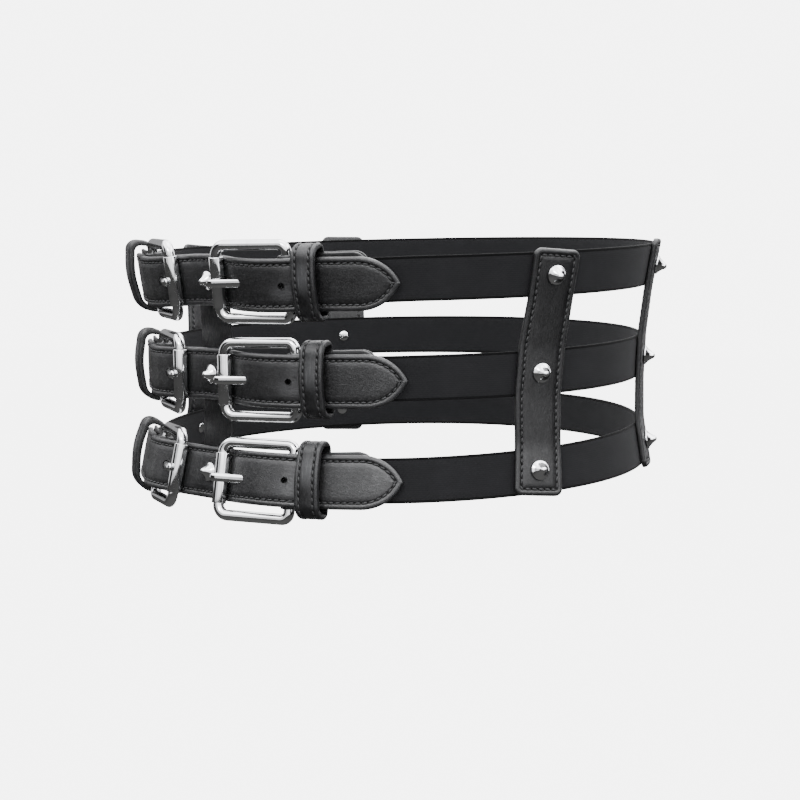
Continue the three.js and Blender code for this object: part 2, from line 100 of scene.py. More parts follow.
class BeltSizes(bpy.types.PropertyGroup):
    """Sizes of the belt's pieces"""

    elastic_width: length("Elastic width", "Height of each elastic row", 20)
    elastic_thickness: length("Elastic thickness", "Thickness of the elastic", 1.2)
    strap_width: length("Strap width", "Height of each pointed front strap", 24)
    strap_thickness: length("Strap thickness", "Thickness of the front straps", 2.4)
    strap_drop: length("Strap drop", "How far the pointed ends hang below the row", 0.9)
    tip_place: length("Tip place", "Distance round the row from the centre front to each point", 103.3)
    tip_length: length("Tip length", "Length of the pointed part of a strap", 18)
    hole_radius: length("Hole radius", "Radius of the spare prong holes", 1.35)
    hole_place: length("Hole place", "Distance round the row to each spare hole", 51.4)
    bar_place: length("Bar place", "Distance round the row to each front bar", 16.6)
    heel_place: length("Heel place", "Distance round the row to each heel bar", 51.5)
    frame_height: length("Buckle height", "Outer height of a buckle frame", 38.2)
    wire_radius: length("Wire radius", "Radius of the buckle's wire", 2.5)
    front_corner: length("Front corner", "Bend radius of the frame's front corners", 5)
    heel_corner: length("Heel corner", "Bend radius of the frame's heel corners", 3.2)
    roller_radius: length("Roller radius", "Outer radius of the roller", 3.25)
    prong_width: length("Prong width", "Width of the prong", 3.8)
    prong_thickness: length("Prong thickness", "Thickness of the prong", 2)
    prong_overhang: length("Prong overhang", "How far the prong reaches past the roller", 3.4)
    tab_width: length("Tab width", "Height of the folded end tabs", 24.6)
    tab_thickness: length("Tab thickness", "Thickness of one layer of an end tab", 1.3)
    tab_end: length("Tab end", "Distance round the row to the end of a tab", 89.5)
    tab_lift: length("Tab lift", "How far the tab's flaps sit above the row", 0.7)
    tab_fold_half: length("Fold half height", "Half height of the tab round the heel bar", 11.9)
    keeper_place: length("Keeper place", "Distance round the row to a keeper's near side", 58.6)
    keeper_lift: length("Keeper lift", "How far a keeper sits above the row", -0.1)
    keeper_width: length("Keeper width", "Width of a keeper loop", 10.6)
    keeper_height: length("Keeper height", "Outer height of a keeper loop", 34.6)
    keeper_thickness: length("Keeper thickness", "Thickness of a keeper's leather", 2.6)
    keeper_back: length("Keeper back", "Thickness of the part of a keeper between the tab's flaps", 1.2)
    keeper_crown: length("Keeper crown", "How far a keeper's face bulges", 1.2)
    keeper_face: length("Keeper face", "How far a keeper stands out from the row", 13.8)
    upright_width: length("Upright width", "Width of the straps that run down the rows", 22.4)
    upright_thickness: length("Upright thickness", "Thickness of the stitched uprights", 2.4)
    centre_thickness: length("Centre upright thickness", "Thickness of the plain centre upright", 1.8)
    stud_radius: length("Stud radius", "Radius of a cone stud's base", 4.4)
    stud_height: length("Stud height", "Height of a cone stud", 4.8)
    clearance: length("Clearance", "Gap between layers that touch", 0.3)


class BeltFinish(bpy.types.PropertyGroup):
    """Stitching and colours of the belt"""

    stitch_pitch: length("Stitch pitch", "Distance from one stitch to the next", 3.0)
    thread_radius: length("Thread radius", "Radius of the sewing thread", 0.5)
    seam_inset: length("Seam inset", "Distance from a strap's edge to its seam", 2.85)
    groove_depth: length("Groove depth", "Depth of the groove that the seam lies in", 0.65)
    keeper_seam: length("Keeper seam", "Distance from a keeper's edge to its seam", 2.2)
    keeper_groove: length("Keeper groove", "Depth of a keeper's groove", 0.55)
    stitch_sides: IntProperty(
        name="Stitch sides", description="Sides of each stitch", default=6, min=4, max=12
    )
    leather_colour: tone("Leather", "Colour of the leather", (0.0036, 0.0037, 0.0042))
    # Rubbed leather takes this colour, and so do the painted highlights on rims and keeper faces.
    worn_and_sheen_colour: tone("Worn leather", "Colour of rubbed leather", (0.12, 0.122, 0.127))
    elastic_colour: tone("Elastic", "Colour of the elastic", (0.0155, 0.0157, 0.017))
    thread_colour: tone("Thread", "Colour of the thread", (0.016, 0.0163, 0.0172))
    chrome_colour: tone("Chrome", "Colour of the plated metal", (0.78, 0.785, 0.79))
    floor_colour: tone("Floor", "Colour of the floor", (0.82, 0.82, 0.82))


def unit(vectors):
    return vectors / np.linalg.norm(vectors, axis=-1, keepdims=True)


def distances(points):
    """How far along a line of points each one is."""
    steps = np.linalg.norm(np.diff(points, axis=0), axis=1)
    return np.concatenate([[0], np.cumsum(steps)])


def on_line(places, lengths, points):
    """The points at some places along a line of points in a plane."""
    return np.stack([np.interp(places, lengths, points[:, k]) for k in range(2)], axis=1)


def smoothstep(value, low, high):
    part = np.clip((value - low) / (high - low), 0, 1)
    return part * part * (3 - 2 * part)


def hump(value, middle, spread):
    """A smooth hump of height 1 round a middle value."""
    return np.exp(-(((value - middle) / spread) ** 2))


def blended(places, values, window):
    """The values averaged over a window of places, which rounds the corners of a line."""
    shares = np.linspace(-0.5, 0.5, 9)
    rows = [np.interp(places + offset, places, values) for offset in shares * window]
    return np.average(rows, axis=0, weights=np.cos(shares * pi * 0.9))


class Row:
    """A row's curve, read by place: the distance from the centre front round the elastic's outer face."""

    def __init__(self, shape):
        self.name = shape.name
        self.shape = shape
        self.angles = np.linspace(0, 2 * pi, 1441)
        self.lengths = distances(self.point(self.angles))
        self.length = self.lengths[-1]

    def point(self, angle):
        y = -self.shape.half_depth * np.cos(angle)
        x = self.shape.half_width * np.sin(angle)
        return np.stack([x, y, self.shape.height + self.shape.back_rise * y], axis=-1)

    def place_at(self, angle):
        return np.sign(angle) * np.interp(np.abs(angle), self.angles, self.lengths)

    def axes(self, place):
        """The point at a place, with the directions along the row, up its face and out of it."""
        angle = np.interp(np.mod(place, self.length), self.lengths, self.angles)
        slope = self.shape.half_depth * np.sin(angle)
        run = self.shape.half_width * np.cos(angle)
        along = unit(np.stack([run, slope, self.shape.back_rise * slope], axis=-1))
        across = np.sin(angle) / self.shape.half_width
        ahead = -np.cos(angle) / self.shape.half_depth
        level = unit(np.stack([across, ahead, np.zeros_like(across)], axis=-1))
        plumb = unit(np.cross(level, along))
        tip = atan(self.shape.lean)
        upward = plumb * cos(tip) + level * sin(tip)
        outward = level * cos(tip) - plumb * sin(tip)
        return self.point(angle), along, upward, outward

    def at(self, place, out, up):
        place, out, up = np.broadcast_arrays(*(np.asarray(v, dtype=float) for v in (place, out, up)))
        origin, _, upward, outward = self.axes(place)
        return origin + outward * out[..., None] + upward * up[..., None]

    def read(self, points):
        """Place, out and up of points near the row's front."""
        angle = np.arctan2(points[:, 0] / self.shape.half_width, -points[:, 1] / self.shape.half_depth)
        place = self.place_at(angle)
        for _ in range(3):
            origin, along, _, _ = self.axes(place)
            place = place + np.sum((points - origin) * along, axis=1)
        origin, _, upward, outward = self.axes(place)
        away = points - origin
        return place, np.sum(away * outward, axis=1), np.sum(away * upward, axis=1)


class Line:
    """A strap's middle line along a row, as tables against the distance along the strap."""

    def __init__(self, row, along, place, out, up, facing=1):
        self.row = row
        self.along = along
        self.place = place
        self.out = out
        self.up = up
        self.facing = facing

    def spot(self, x):
        return (np.interp(x, self.along, table) for table in (self.place, self.out, self.up))

    def middle(self, x):
        return self.row.at(*self.spot(x))

    def lay(self, flat):
        """Where points of the flat blank come to lie: x along the strap, y up it and z off its face."""
        x, y, z = flat.T
        run = unit(self.middle(x + NUDGE) - self.middle(x - NUDGE))
        place = np.interp(x, self.along, self.place)
        upward = self.row.axes(place)[2]
        face = unit(np.cross(run, upward)) * self.facing
        return self.middle(x) + upward * y[:, None] + face * z[:, None]


class BeltPlan:
    """The belt's rows and the distances that its layers lie out from them."""

    def __init__(self, context):
        self.sizes = sizes = context.scene.belt_sizes
        self.finish = context.scene.belt_finish
        self.rows = [Row(shape) for shape in ROW_SHAPES]
        body_face = -sizes.elastic_thickness
        body_gap = 0.1 * MM
        half_tab = sizes.tab_thickness / 2
        gap = sizes.clearance
        self.inner_flap = body_face + body_gap + half_tab
        self.elastic_end = self.inner_flap + half_tab + gap + sizes.elastic_thickness / 2
        self.outer_flap = self.elastic_end + sizes.elastic_thickness / 2 + gap + half_tab
        self.fold_radius = sizes.wire_radius + gap + half_tab
        self.heel_out = self.inner_flap + self.fold_radius
        half_strap = sizes.strap_thickness / 2
        self.strap_on_tab = self.outer_flap + half_tab + gap + half_strap
        self.strap_on_fold = self.heel_out + self.fold_radius + half_tab + gap + half_strap
        self.centre_upright = body_face + body_gap + sizes.centre_thickness / 2
        self.strap_at_centre = self.centre_upright + sizes.centre_thickness / 2 + gap + half_strap
        self.strap_at_bar = 4.8 * MM
        self.bar_out = self.strap_at_bar + half_strap + gap + sizes.roller_radius
        self.upright = gap + sizes.upright_thickness / 2
        self.keeper_back = self.inner_flap + half_tab + gap
        self.prong_rise = sizes.roller_radius + gap + sizes.prong_thickness / 2

    def sides(self):
        """Each row with each side's name and sign."""
        return [(row, side, sign) for row in self.rows for side, sign in SIDES.items()]

    def buckle(self, row, sign):
        """The matrix of a buckle, whose x runs from the heel bar to the front bar, and its reach."""
        sizes = self.sizes
        bar_drop, heel_drop = row.shape.drops[sign]
        heel = Vector(row.at(sign * sizes.heel_place, self.heel_out, -heel_drop))
        front = Vector(row.at(sign * sizes.bar_place, self.bar_out, -bar_drop))
        x = front - heel
        reach = x.length
        x.normalize()
        middle = sign * (sizes.heel_place + sizes.bar_place) / 2
        outward = Vector(row.axes(np.array([middle]))[3][0])
        y = outward.cross(x).normalized()
        return placing(x, y, x.cross(y), heel), reach

    def front_strap(self, row):
        """From the centre behind the front bar, over the heel bar's fold and down onto the tab."""
        sizes = self.sizes
        centre = self.strap_at_centre / MM
        bar = self.strap_at_bar / MM
        fold = self.strap_on_fold / MM
        tab = self.strap_on_tab / MM
        tip_start = sizes.tip_place - sizes.tip_length
        # The place and the distance out of each bend, in millimetres.
        place_and_out = np.array([
            (0, centre), (7.2, centre + 0.1), (11.5, centre + 1.2), (sizes.bar_place / MM, bar),
            (20, bar + 1), (24, bar + 2.6), (28.5, bar + 4), (33, bar + 4.5),
            (38, fold + 1.35), (44, fold + 0.8), (sizes.heel_place / MM, fold),
            (58, tab + 1.5), (64, tab + 0.6), (70, tab + 0.2), (tip_start / MM, tab),
        ]) * MM
        tip_lift = 3.1 * MM
        along = np.arange(-sizes.tip_place, sizes.tip_place + NUDGE, 0.5 * MM)
        away = np.abs(along)
        settle = smoothstep((away - tip_start) / sizes.tip_length, 0.2, 1)
        out = np.interp(away, *place_and_out.T) + (tip_lift - self.strap_on_tab) * settle
        up = -sizes.strap_drop * smoothstep(away, 0, sizes.heel_place)
        return Line(row, along, along, blended(along, out, 4 * MM), up)

    def end_tab(self, row, sign):
        """From the inner flap's end, round the heel bar, to the outer flap's end."""
        sizes = self.sizes
        flap_start = sizes.heel_place + 5.5 * MM
        heel_drop = row.shape.drops[sign][1]
        turns = np.radians(np.linspace(270, 58, 30))
        place = np.concatenate([
            [sizes.tab_end, flap_start],
            sizes.heel_place + self.fold_radius * np.cos(turns),
            [flap_start, sizes.tab_end],
        ])
        out = np.concatenate([
            [self.inner_flap, self.inner_flap],
            self.heel_out + self.fold_radius * np.sin(turns),
            [self.outer_flap, self.outer_flap],
        ])
        up = np.concatenate([[sizes.tab_lift, 0], np.full(len(turns), -heel_drop), [0, sizes.tab_lift]])
        along = distances(np.stack([place, out], axis=1))
        fine = np.arange(0, along[-1], 0.25 * MM)
        fine[-1] = along[-1]
        rounding = 1.6 * MM
        tables = [np.interp(fine, along, table) for table in (place, out, up)]
        place, out, up = (blended(fine, table, rounding) for table in tables)
        return Line(row, fine, sign * place, out, up, facing=sign)

    def elastic(self, row):
        """Flat on the body, with both ends lifted between the tabs' flaps."""
        start = 72 * MM
        lift_start = 92 * MM
        lift_end = 112 * MM
        along = np.arange(start, row.length - start, 1 * MM)
        near = np.minimum(along, row.length - along)
        flat = -self.sizes.elastic_thickness / 2
        lift = 1 - smoothstep(near, lift_start, lift_end)
        return Line(row, along, along, flat + (self.elastic_end - flat) * lift, np.zeros_like(along))


def placing(x, y, z, origin):
    """The matrix that turns the axes to three directions and moves them to a point."""
    matrix = Matrix((x, y, z)).transposed().to_4x4()
    matrix.translation = Vector(origin)
    return matrix


def select_only(piece):
    bpy.ops.object.select_all(action="DESELECT")
    piece.select_set(True)
    bpy.context.view_layer.objects.active = piece


def edit_all(piece):
    select_only(piece)
    bpy.ops.object.mode_set(mode="EDIT")
    bpy.ops.mesh.select_all(action="SELECT")


def done_editing():
    bpy.ops.object.mode_set(mode="OBJECT")


def points_of(piece):
    points = np.empty(3 * len(piece.data.vertices))
    piece.data.vertices.foreach_get("co", points)
    return points.reshape(-1, 3)


def move_points(piece, points):
    piece.data.vertices.foreach_set("co", np.ascontiguousarray(points, dtype=np.float64).ravel())
    piece.data.update()


def store(piece, name, values):
    """Keeps three numbers for each vertex, for the materials to read."""
    layer = piece.data.attributes.new(name, "FLOAT_VECTOR", "POINT")
    layer.data.foreach_set("vector", np.ascontiguousarray(values, dtype=np.float32).ravel())


def close_up(piece, distance=0.01 * MM):
    """Joins points that meet and turns every face outwards."""
    edit_all(piece)
    bpy.ops.mesh.remove_doubles(threshold=distance)
    bpy.ops.mesh.select_all(action="SELECT")
    bpy.ops.mesh.dissolve_degenerate(threshold=0.001 * MM)
    bpy.ops.mesh.select_all(action="SELECT")
    bpy.ops.mesh.normals_make_consistent(inside=False)
    done_editing()


def shade(piece, angle=50):
    select_only(piece)
    bpy.ops.object.shade_smooth_by_angle(angle=radians(angle))


def select_faces(piece, wanted):
    """Goes into edit mode with the faces selected that a test picks."""
    select_only(piece)
    bpy.ops.object.mode_set(mode="EDIT")
    bpy.ops.mesh.select_mode(type="FACE")
    bpy.ops.mesh.select_all(action="DESELECT")
    done_editing()
    for polygon in piece.data.polygons:
        polygon.select = wanted(polygon)
    bpy.ops.object.mode_set(mode="EDIT")


def added():
    """The piece just added, with its place and turn put into its mesh."""
    bpy.ops.object.transform_apply(location=True, rotation=True, scale=True)
    return bpy.context.object


def apply_modifiers(piece):
    select_only(piece)
    for modifier in list(piece.modifiers):
        bpy.ops.object.modifier_apply(modifier=modifier.name)


def remove(piece):
    mesh = piece.data
    bpy.data.objects.remove(piece)
    bpy.data.meshes.remove(mesh)


def cut_with(piece, cutter):
    """Cuts one piece by another with a Boolean modifier, and removes the cutter."""
    modifier = piece.modifiers.new("cut", "BOOLEAN")
    modifier.object = cutter
    modifier.operation = "DIFFERENCE"
    modifier.solver = "EXACT"
    apply_modifiers(piece)
    remove(cutter)


def dress(piece, material):
    piece.data.materials.clear()
    piece.data.materials.append(bpy.data.materials[material])


def keep(piece, material, slot, *nodes):
    """Dresses a finished piece and hands it to the frame, in place of the CAD nodes that it stands for."""
    dress(piece, material)
    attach(piece, BODY)
    if nodes:
        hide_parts(*nodes)


def extrude_through(stations):
    """Draws the selected ring out through stations of x, y, z and its scales along x, y and z."""
    for before, station in zip(stations, stations[1:]):
        shift = tuple(station[k] - before[k] for k in range(3))
        bpy.ops.mesh.extrude_region_move(TRANSFORM_OT_translate={"value": shift})
        bpy.ops.transform.resize(value=tuple(station[k] / before[k] for k in range(3, 6)))


class Blank:
    """A flat grid of leather or elastic, laid to a cut outline, with a pressed front and back."""

    def __init__(self, name, grid, front, back):
        along, across, inset = grid
        cells = (along.shape[0] - 1, along.shape[1] - 1)
        bpy.ops.mesh.primitive_grid_add(x_subdivisions=cells[0], y_subdivisions=cells[1], size=1)
        self.piece = bpy.context.object
        self.piece.name = self.piece.data.name = name
        edit_all(self.piece)
        bpy.ops.mesh.extrude_region_move(TRANSFORM_OT_translate={"value": (0, 0, 1)})
        done_editing()
        points = points_of(self.piece)
        self.i = np.rint((points[:, 0] + 0.5) * cells[0]).astype(int)
        j = np.rint((points[:, 1] + 0.5) * cells[1]).astype(int)
        x, y = along[self.i, j], across[self.i, j]
        z = np.where(points[:, 2] > 0.5, front[self.i, j], back[self.i, j])
        move_points(self.piece, np.stack([x, y, z], axis=1))
        store(self.piece, "flat", np.stack([x, y, inset[self.i, j]], axis=1))

    def lay(self, where):
        """Moves the flat points to where a function says that they come to lie."""
        move_points(self.piece, where(points_of(self.piece)))


def columns(half, lines, inner_steps):
    """Insets from the nearer edge and signs, for grid lines from the lower edge to the upper one."""
    inner = np.linspace(lines[-1], half, inner_steps + 1)[1:]
    one_side = np.concatenate([lines, inner])
    insets = np.concatenate([one_side, one_side[-2::-1]])
    signs = np.concatenate([-np.ones(len(one_side) - 1), [0], np.ones(len(one_side) - 1)])
    return insets, signs


def straight_grid(stations, half, lines, inner_steps):
    """The grid of a straight band: distance along, distance across and inset."""
    insets, signs = columns(half, lines, inner_steps)
    along = np.repeat(stations[:, None], len(insets), axis=1)
    across = np.repeat((signs * (half - insets))[None, :], len(stations), axis=0)
    return along, across, np.repeat(insets[None, :], len(stations), axis=0)


def pointed_grid(sizes, lines, step):
    """The grid of a strap with two pointed ends: each point is two arcs that meet on the middle line."""
    half = sizes.strap_width / 2
    tip = sizes.tip_length
    bow = (half**2 + tip**2) / (2 * half)
    start = sizes.tip_place - tip
    insets, signs = columns(half, lines, 4)
    rings = np.minimum(insets, lines[-1])
    reach = np.sqrt((bow - rings) ** 2 - (bow - half) ** 2)
    share = (half - insets) / (half - rings)
    tip_steps = 18
    parts = np.sin(np.linspace(0, 1, tip_steps + 1)[1:] * pi / 2)
    tip_along = start + parts[:, None] * reach
    tip_half = np.sqrt(np.maximum((bow - rings) ** 2 - (tip_along - start) ** 2, 0)) - (bow - half)
    tip_half = np.maximum(tip_half, 0)
    stations = np.linspace(-start, start, int(round(2 * start / step)) + 1)
    middle_along = np.repeat(stations[:, None], len(insets), axis=1)
    middle_half = np.repeat((half - rings)[None, :], len(stations), axis=0)
    along = np.concatenate([-tip_along[::-1], middle_along, tip_along])
    ring_half = np.concatenate([tip_half[::-1], middle_half, tip_half])
    return along, signs * share * ring_half, rings + (1 - share) * ring_half


def square_grid(run, half, lines, corner, step):
    """The grid of a strap with rounded corners, from 0 to its length."""
    turn_lines = lines[lines < corner]
    turn_lines = np.concatenate([turn_lines, [(turn_lines[-1] + corner) / 2, corner]])
    insets, signs = columns(half, turn_lines, max(2, int(round((half - corner) / (2.2 * MM)))))
    count = max(2, int(round((run - 2 * corner) / step)))
    middle = np.linspace(corner, run - corner, count + 1)
    stations = np.concatenate([turn_lines[:-1], middle, run - turn_lines[-2::-1]])
    from_end = np.minimum(stations, run - stations)
    dx, dy = np.meshgrid(from_end, insets, indexing="ij")
    ring = np.minimum(dx, dy)
    other = np.maximum(dx, dy)
    turning = (other < corner) & (ring < corner)
    part = np.clip((other - ring) / np.maximum(corner - ring, 1e-9), 0, 1)
    swing = (1 - part) * pi / 4
    near = corner - (corner - ring) * np.cos(swing)
    far = corner - (corner - ring) * np.sin(swing)
    side_first = dy <= dx
    dy = np.where(turning, np.where(side_first, near, far), dy)
    dx = np.where(turning, np.where(side_first, far, near), dx)
    along = np.where(stations[:, None] > run / 2, run - dx, dx)
    return along, signs * (half - dy), ring


def pressed_height(inset, half, rolled, rim=0.0, groove=None, depth=0.0, crown=0.0):
    """Height of a face above the blank's middle: rolled at the edge, with a raised rim and a seam groove."""
    left = np.clip(1 - inset / rolled, 0, 1)
    height = half - rolled * (1 - np.sqrt(1 - left**2))
    if groove:
        height = height + rim * hump(inset, groove / 2, RIM_SPREAD)
        height = height - depth * hump(inset, groove, GROOVE_SPREAD)
        height = height + crown * smoothstep(inset, groove + 0.3 * MM, groove + 4.5 * MM)
    return height


def stitched_faces(plan, inset, half, crown):
    """The front and back heights of a strap that is stitched all round."""
    finish = plan.finish
    front = pressed_height(inset, half - 0.12 * MM, 0.9 * MM, rim=0.2 * MM, groove=finish.seam_inset,
                           depth=finish.groove_depth, crown=crown)
    return front, -pressed_height(inset, half, 0.6 * MM)


def seam_round(points, pitch):
    """Places and directions of stitches along a closed or open line of flat points."""
    lengths = distances(points)
    count = max(1, int(round(lengths[-1] / pitch)))
    middles = (np.arange(count) + 0.5) * lengths[-1] / count
    ahead = on_line(middles + 0.3 * MM, lengths, points)
    behind = on_line(middles - 0.3 * MM, lengths, points)
    return on_line(middles, lengths, points), unit(ahead - behind)


def one_stitch(finish):
    """The points and faces of a single stitch, lying along x, with few faces."""
    bpy.ops.mesh.primitive_uv_sphere_add(
        segments=finish.stitch_sides, ring_count=6, radius=1, rotation=(0, pi / 2, 0)
    )
    stitch = added()
    edit_all(stitch)
    half_length = finish.stitch_pitch * 0.43
    bpy.ops.transform.resize(value=(half_length, finish.thread_radius, finish.thread_radius))
    done_editing()
    points = points_of(stitch)
    faces = [tuple(face.vertices) for face in stitch.data.polygons]
    remove(stitch)
    return points, faces


def sew(name, finish, seams, height, lay):
    """One mesh of stitches along flat seams, at a height off the blank, laid where the blank lies."""
    points, faces = one_stitch(finish)
    slant = radians(7)
    all_points = []
    all_faces = []
    for spots, ways in seams:
        for spot, way in zip(spots, ways):
            turn = atan2(way[1], way[0]) + slant
            x = points[:, 0] * cos(turn) - points[:, 1] * sin(turn)
            y = points[:, 0] * sin(turn) + points[:, 1] * cos(turn)
            start = len(all_points) * len(points)
            all_points.append(np.stack([x + spot[0], y + spot[1], points[:, 2] + height], axis=1))
            all_faces.extend(tuple(start + k for k in face) for face in faces)
    mesh = bpy.data.meshes.new(name)
    mesh.from_pydata(lay(np.concatenate(all_points)).tolist(), [], all_faces)
    piece = bpy.data.objects.new(name, mesh)
    bpy.context.collection.objects.link(piece)
    store(piece, "flat", np.tile(points, (len(all_points), 1)))
    close_up(piece, 0.0005 * MM)
    shade(piece, 80)
    keep(piece, "thread", "leather")


def ring_points(grid, depth):
    """The closed line round a blank at one inset, from its grid."""
    along, across, inset = grid
    middle_row, middle_column = inset.shape[0] // 2, inset.shape[1] // 2
    column = int(np.argmin(np.abs(inset[middle_row] - depth)))
    low, high = sorted((column, inset.shape[1] - 1 - column))
    first = int(np.argmin(np.abs(inset[:middle_row, middle_column] - depth)))
    last = inset.shape[0] - 1 - first
    spots = np.stack([along, across], axis=2)
    upper = spots[first:last + 1, high]
    far = spots[last, low + 1:high][::-1]
    lower = spots[first:last + 1, low][::-1]
    near = spots[first, low + 1:high]
    return np.concatenate([upper, far, lower, near, upper[:1]])


# Materials

class Nodes:
    """A node tree, with a short method for each kind of node that the materials share."""

    def __init__(self, tree):
        self.tree = tree

    def fill(self, socket, value):
        """Links another node's output to a socket, or sets it to a number, a vector or a colour."""
        if isinstance(value, bpy.types.NodeSocket):
            self.tree.links.new(value, socket)
        elif socket.type == "RGBA":
            socket.default_value = (*value, 1)
        else:
            socket.default_value = value

    def add(self, kind, inputs=None, **settings):
        """A new node's outputs."""
        made = self.tree.nodes.new(kind)
        for key, value in settings.items():
            setattr(made, key, value)
        for key, value in (inputs or {}).items():
            self.fill(made.inputs[key], value)
        return made.outputs

    def math(self, operation, *values, clamp=False):
        return self.add("ShaderNodeMath", dict(enumerate(values)), operation=operation, use_clamp=clamp)[0]

    def plus(self, first, second):
        return self.math("ADD", first, second)

    def times(self, first, second):
        return self.math("MULTIPLY", first, second)

    def times_plus(self, first, second, rest, clamp=False):
        return self.math("MULTIPLY_ADD", first, second, rest, clamp=clamp)

    def size(self, value):
        return self.math("ABSOLUTE", value)

    def wave(self, value):
        return self.size(self.math("SINE", value))

    def off(self, value, middle):
        """How far a value is from a middle one."""
        return self.size(self.math("SUBTRACT", value, middle))

    def ramp(self, value, low, high, to_low=0.0, to_high=1.0):
        ends = {"Value": value, "From Min": low, "From Max": high, "To Min": to_low, "To Max": to_high}
        return self.add("ShaderNodeMapRange", ends, interpolation_type="SMOOTHSTEP")["Result"]

    def mix(self, factor, first, second):
        return self.add("ShaderNodeMix", {"Factor": factor, 6: first, 7: second}, data_type="RGBA")[2]

    def vector_math(self, operation, inputs, output):
        return self.add("ShaderNodeVectorMath", inputs, operation=operation)[output]

    def stretched(self, vector, scale):
        return self.add("ShaderNodeMapping", {"Vector": vector, "Scale": scale})["Vector"]

    def noise(self, vector, scale, detail=3.0, roughness=0.5, distortion=0.0):
        inputs = {"Vector": vector, "Scale": scale, "Detail": detail, "Roughness": roughness}
        return self.add("ShaderNodeTexNoise", {**inputs, "Distortion": distortion})

    def object_place(self):
        return self.add("ShaderNodeTexCoord")["Object"]

    def flat_place(self):
        """The blank's own coordinates: the vector, and the distances along, across and from the edge."""
        vector = self.add("ShaderNodeAttribute", attribute_name="flat")["Vector"]
        parts = self.add("ShaderNodeSeparateXYZ", {"Vector": vector})
        return vector, parts["X"], parts["Y"], parts["Z"]

    def group(self, name, inputs):
        return self.add("ShaderNodeGroup", inputs, node_tree=bpy.data.node_groups[name])

    def bump(self, shader, height, strength, distance):
        inputs = {"Height": height, "Strength": strength, "Distance": distance}
        self.fill(shader.inputs["Normal"], self.add("ShaderNodeBump", inputs)["Normal"])


def new_group(name, inputs, outputs):
    """A node group: its inputs by name with their defaults, None for a vector, and its outputs' names."""
    group = bpy.data.node_groups.new(name, "ShaderNodeTree")
    for key, default in inputs.items():
        kind = "NodeSocketVector" if default is None else "NodeSocketFloat"
        socket = group.interface.new_socket(key, in_out="INPUT", socket_type=kind)
        if default is not None:
            socket.default_value = default
    for key in outputs:
        group.interface.new_socket(key, in_out="OUTPUT", socket_type="NodeSocketFloat")
    given = group.nodes.new("NodeGroupInput").outputs
    return Nodes(group), given, group.nodes.new("NodeGroupOutput").inputs


def grain_group():
    """Leather grain: fine pebbles with pores and soft creases."""
    nodes, given, result = new_group(
        "leather_grain", {"Coordinate": None, "Pebble size": 0.6 * MM, "Creases": 0.5}, ["Height", "Shade"]
    )
    place = given["Coordinate"]
    per_metre = nodes.math("DIVIDE", 1.0, given["Pebble size"])
    warp = nodes.noise(place, nodes.times(per_metre, 0.6), 2.0)["Color"]
    push = 0.5 * MM
    pushed = nodes.vector_math("MULTIPLY_ADD", {0: warp, 1: (push, push, push), 2: place}, "Vector")
    cells = {"Vector": pushed, "Scale": per_metre}
    pebbles = nodes.add("ShaderNodeTexVoronoi", cells, feature="DISTANCE_TO_EDGE")["Distance"]
    pebble_height = nodes.ramp(pebbles, 0.0, 0.22)
    pores = nodes.noise(place, nodes.times(per_metre, 2.4))["Fac"]
    creases = nodes.noise(nodes.stretched(place, (0.35, 1.0, 1.0)), 420.0, 5.0, 0.62, 0.6)["Fac"]
    height = nodes.plus(nodes.times(pebble_height, 0.42), nodes.times(creases, given["Creases"]))
    nodes.fill(result["Height"], nodes.times_plus(pores, 0.35, height))
    nodes.fill(result["Shade"], nodes.times_plus(pebble_height, 0.25, creases))


def wear_and_sheen_group():
    """Rubbed edges with painted sheen: strongest at the cut edge, broken up by noise."""
    nodes, given, result = new_group(
        "edge_wear", {"Coordinate": None, "Inset": 0.0, "Reach": 1.6 * MM}, ["Mask"]
    )
    near = nodes.ramp(nodes.math("DIVIDE", given["Inset"], given["Reach"]), 0.6, 1.0, 1.0, 0.0)
    patches = nodes.noise(given["Coordinate"], 160.0, 4.0, 0.6)["Fac"]
    nodes.fill(result["Mask"], nodes.times(near, nodes.ramp(patches, 0.3, 0.68, 0.25, 1.0)))


def streak_group():
    """Faint lengthwise lines, from handling and from sliding through the buckle."""
    nodes, given, result = new_group(
        "lengthwise_streaks", {"Coordinate": None, "Lines per metre": 1500.0}, ["Mask"]
    )
    drawn = nodes.stretched(given["Coordinate"], (0.045, 1.0, 0.4))
    lines = nodes.noise(drawn, given["Lines per metre"], 3.0, 0.55)["Fac"]
    nodes.fill(result["Mask"], nodes.ramp(lines, 0.45, 0.72))


def rib_group():
    """Elastic webbing: fine crosswise ribs over lengthwise cords."""
    nodes, given, result = new_group(
        "elastic_weave",
        {"Along": 0.0, "Across": 0.0, "Rib pitch": 0.55 * MM, "Cord pitch": 0.9 * MM},
        ["Height", "Shade"],
    )
    row = nodes.math("DIVIDE", given["Across"], given["Cord pitch"])
    odd_row = nodes.math("FLOORED_MODULO", nodes.math("FLOOR", row), 2.0)
    step = nodes.plus(nodes.math("DIVIDE", given["Along"], given["Rib pitch"]), nodes.times(odd_row, 0.5))
    rib = nodes.wave(nodes.times(step, pi))
    cord = nodes.wave(nodes.times(row, pi))
    height = nodes.plus(nodes.times(rib, 0.75), nodes.times(cord, 0.25))
    spot = nodes.add("ShaderNodeCombineXYZ", {"X": given["Along"], "Y": given["Across"]})["Vector"]
    fuzz = nodes.noise(spot, 2600.0, 3.0, 0.7)["Fac"]
    nodes.fill(result["Height"], nodes.times_plus(fuzz, 0.5, height))
    nodes.fill(result["Shade"], nodes.times(height, nodes.plus(fuzz, 0.4)))


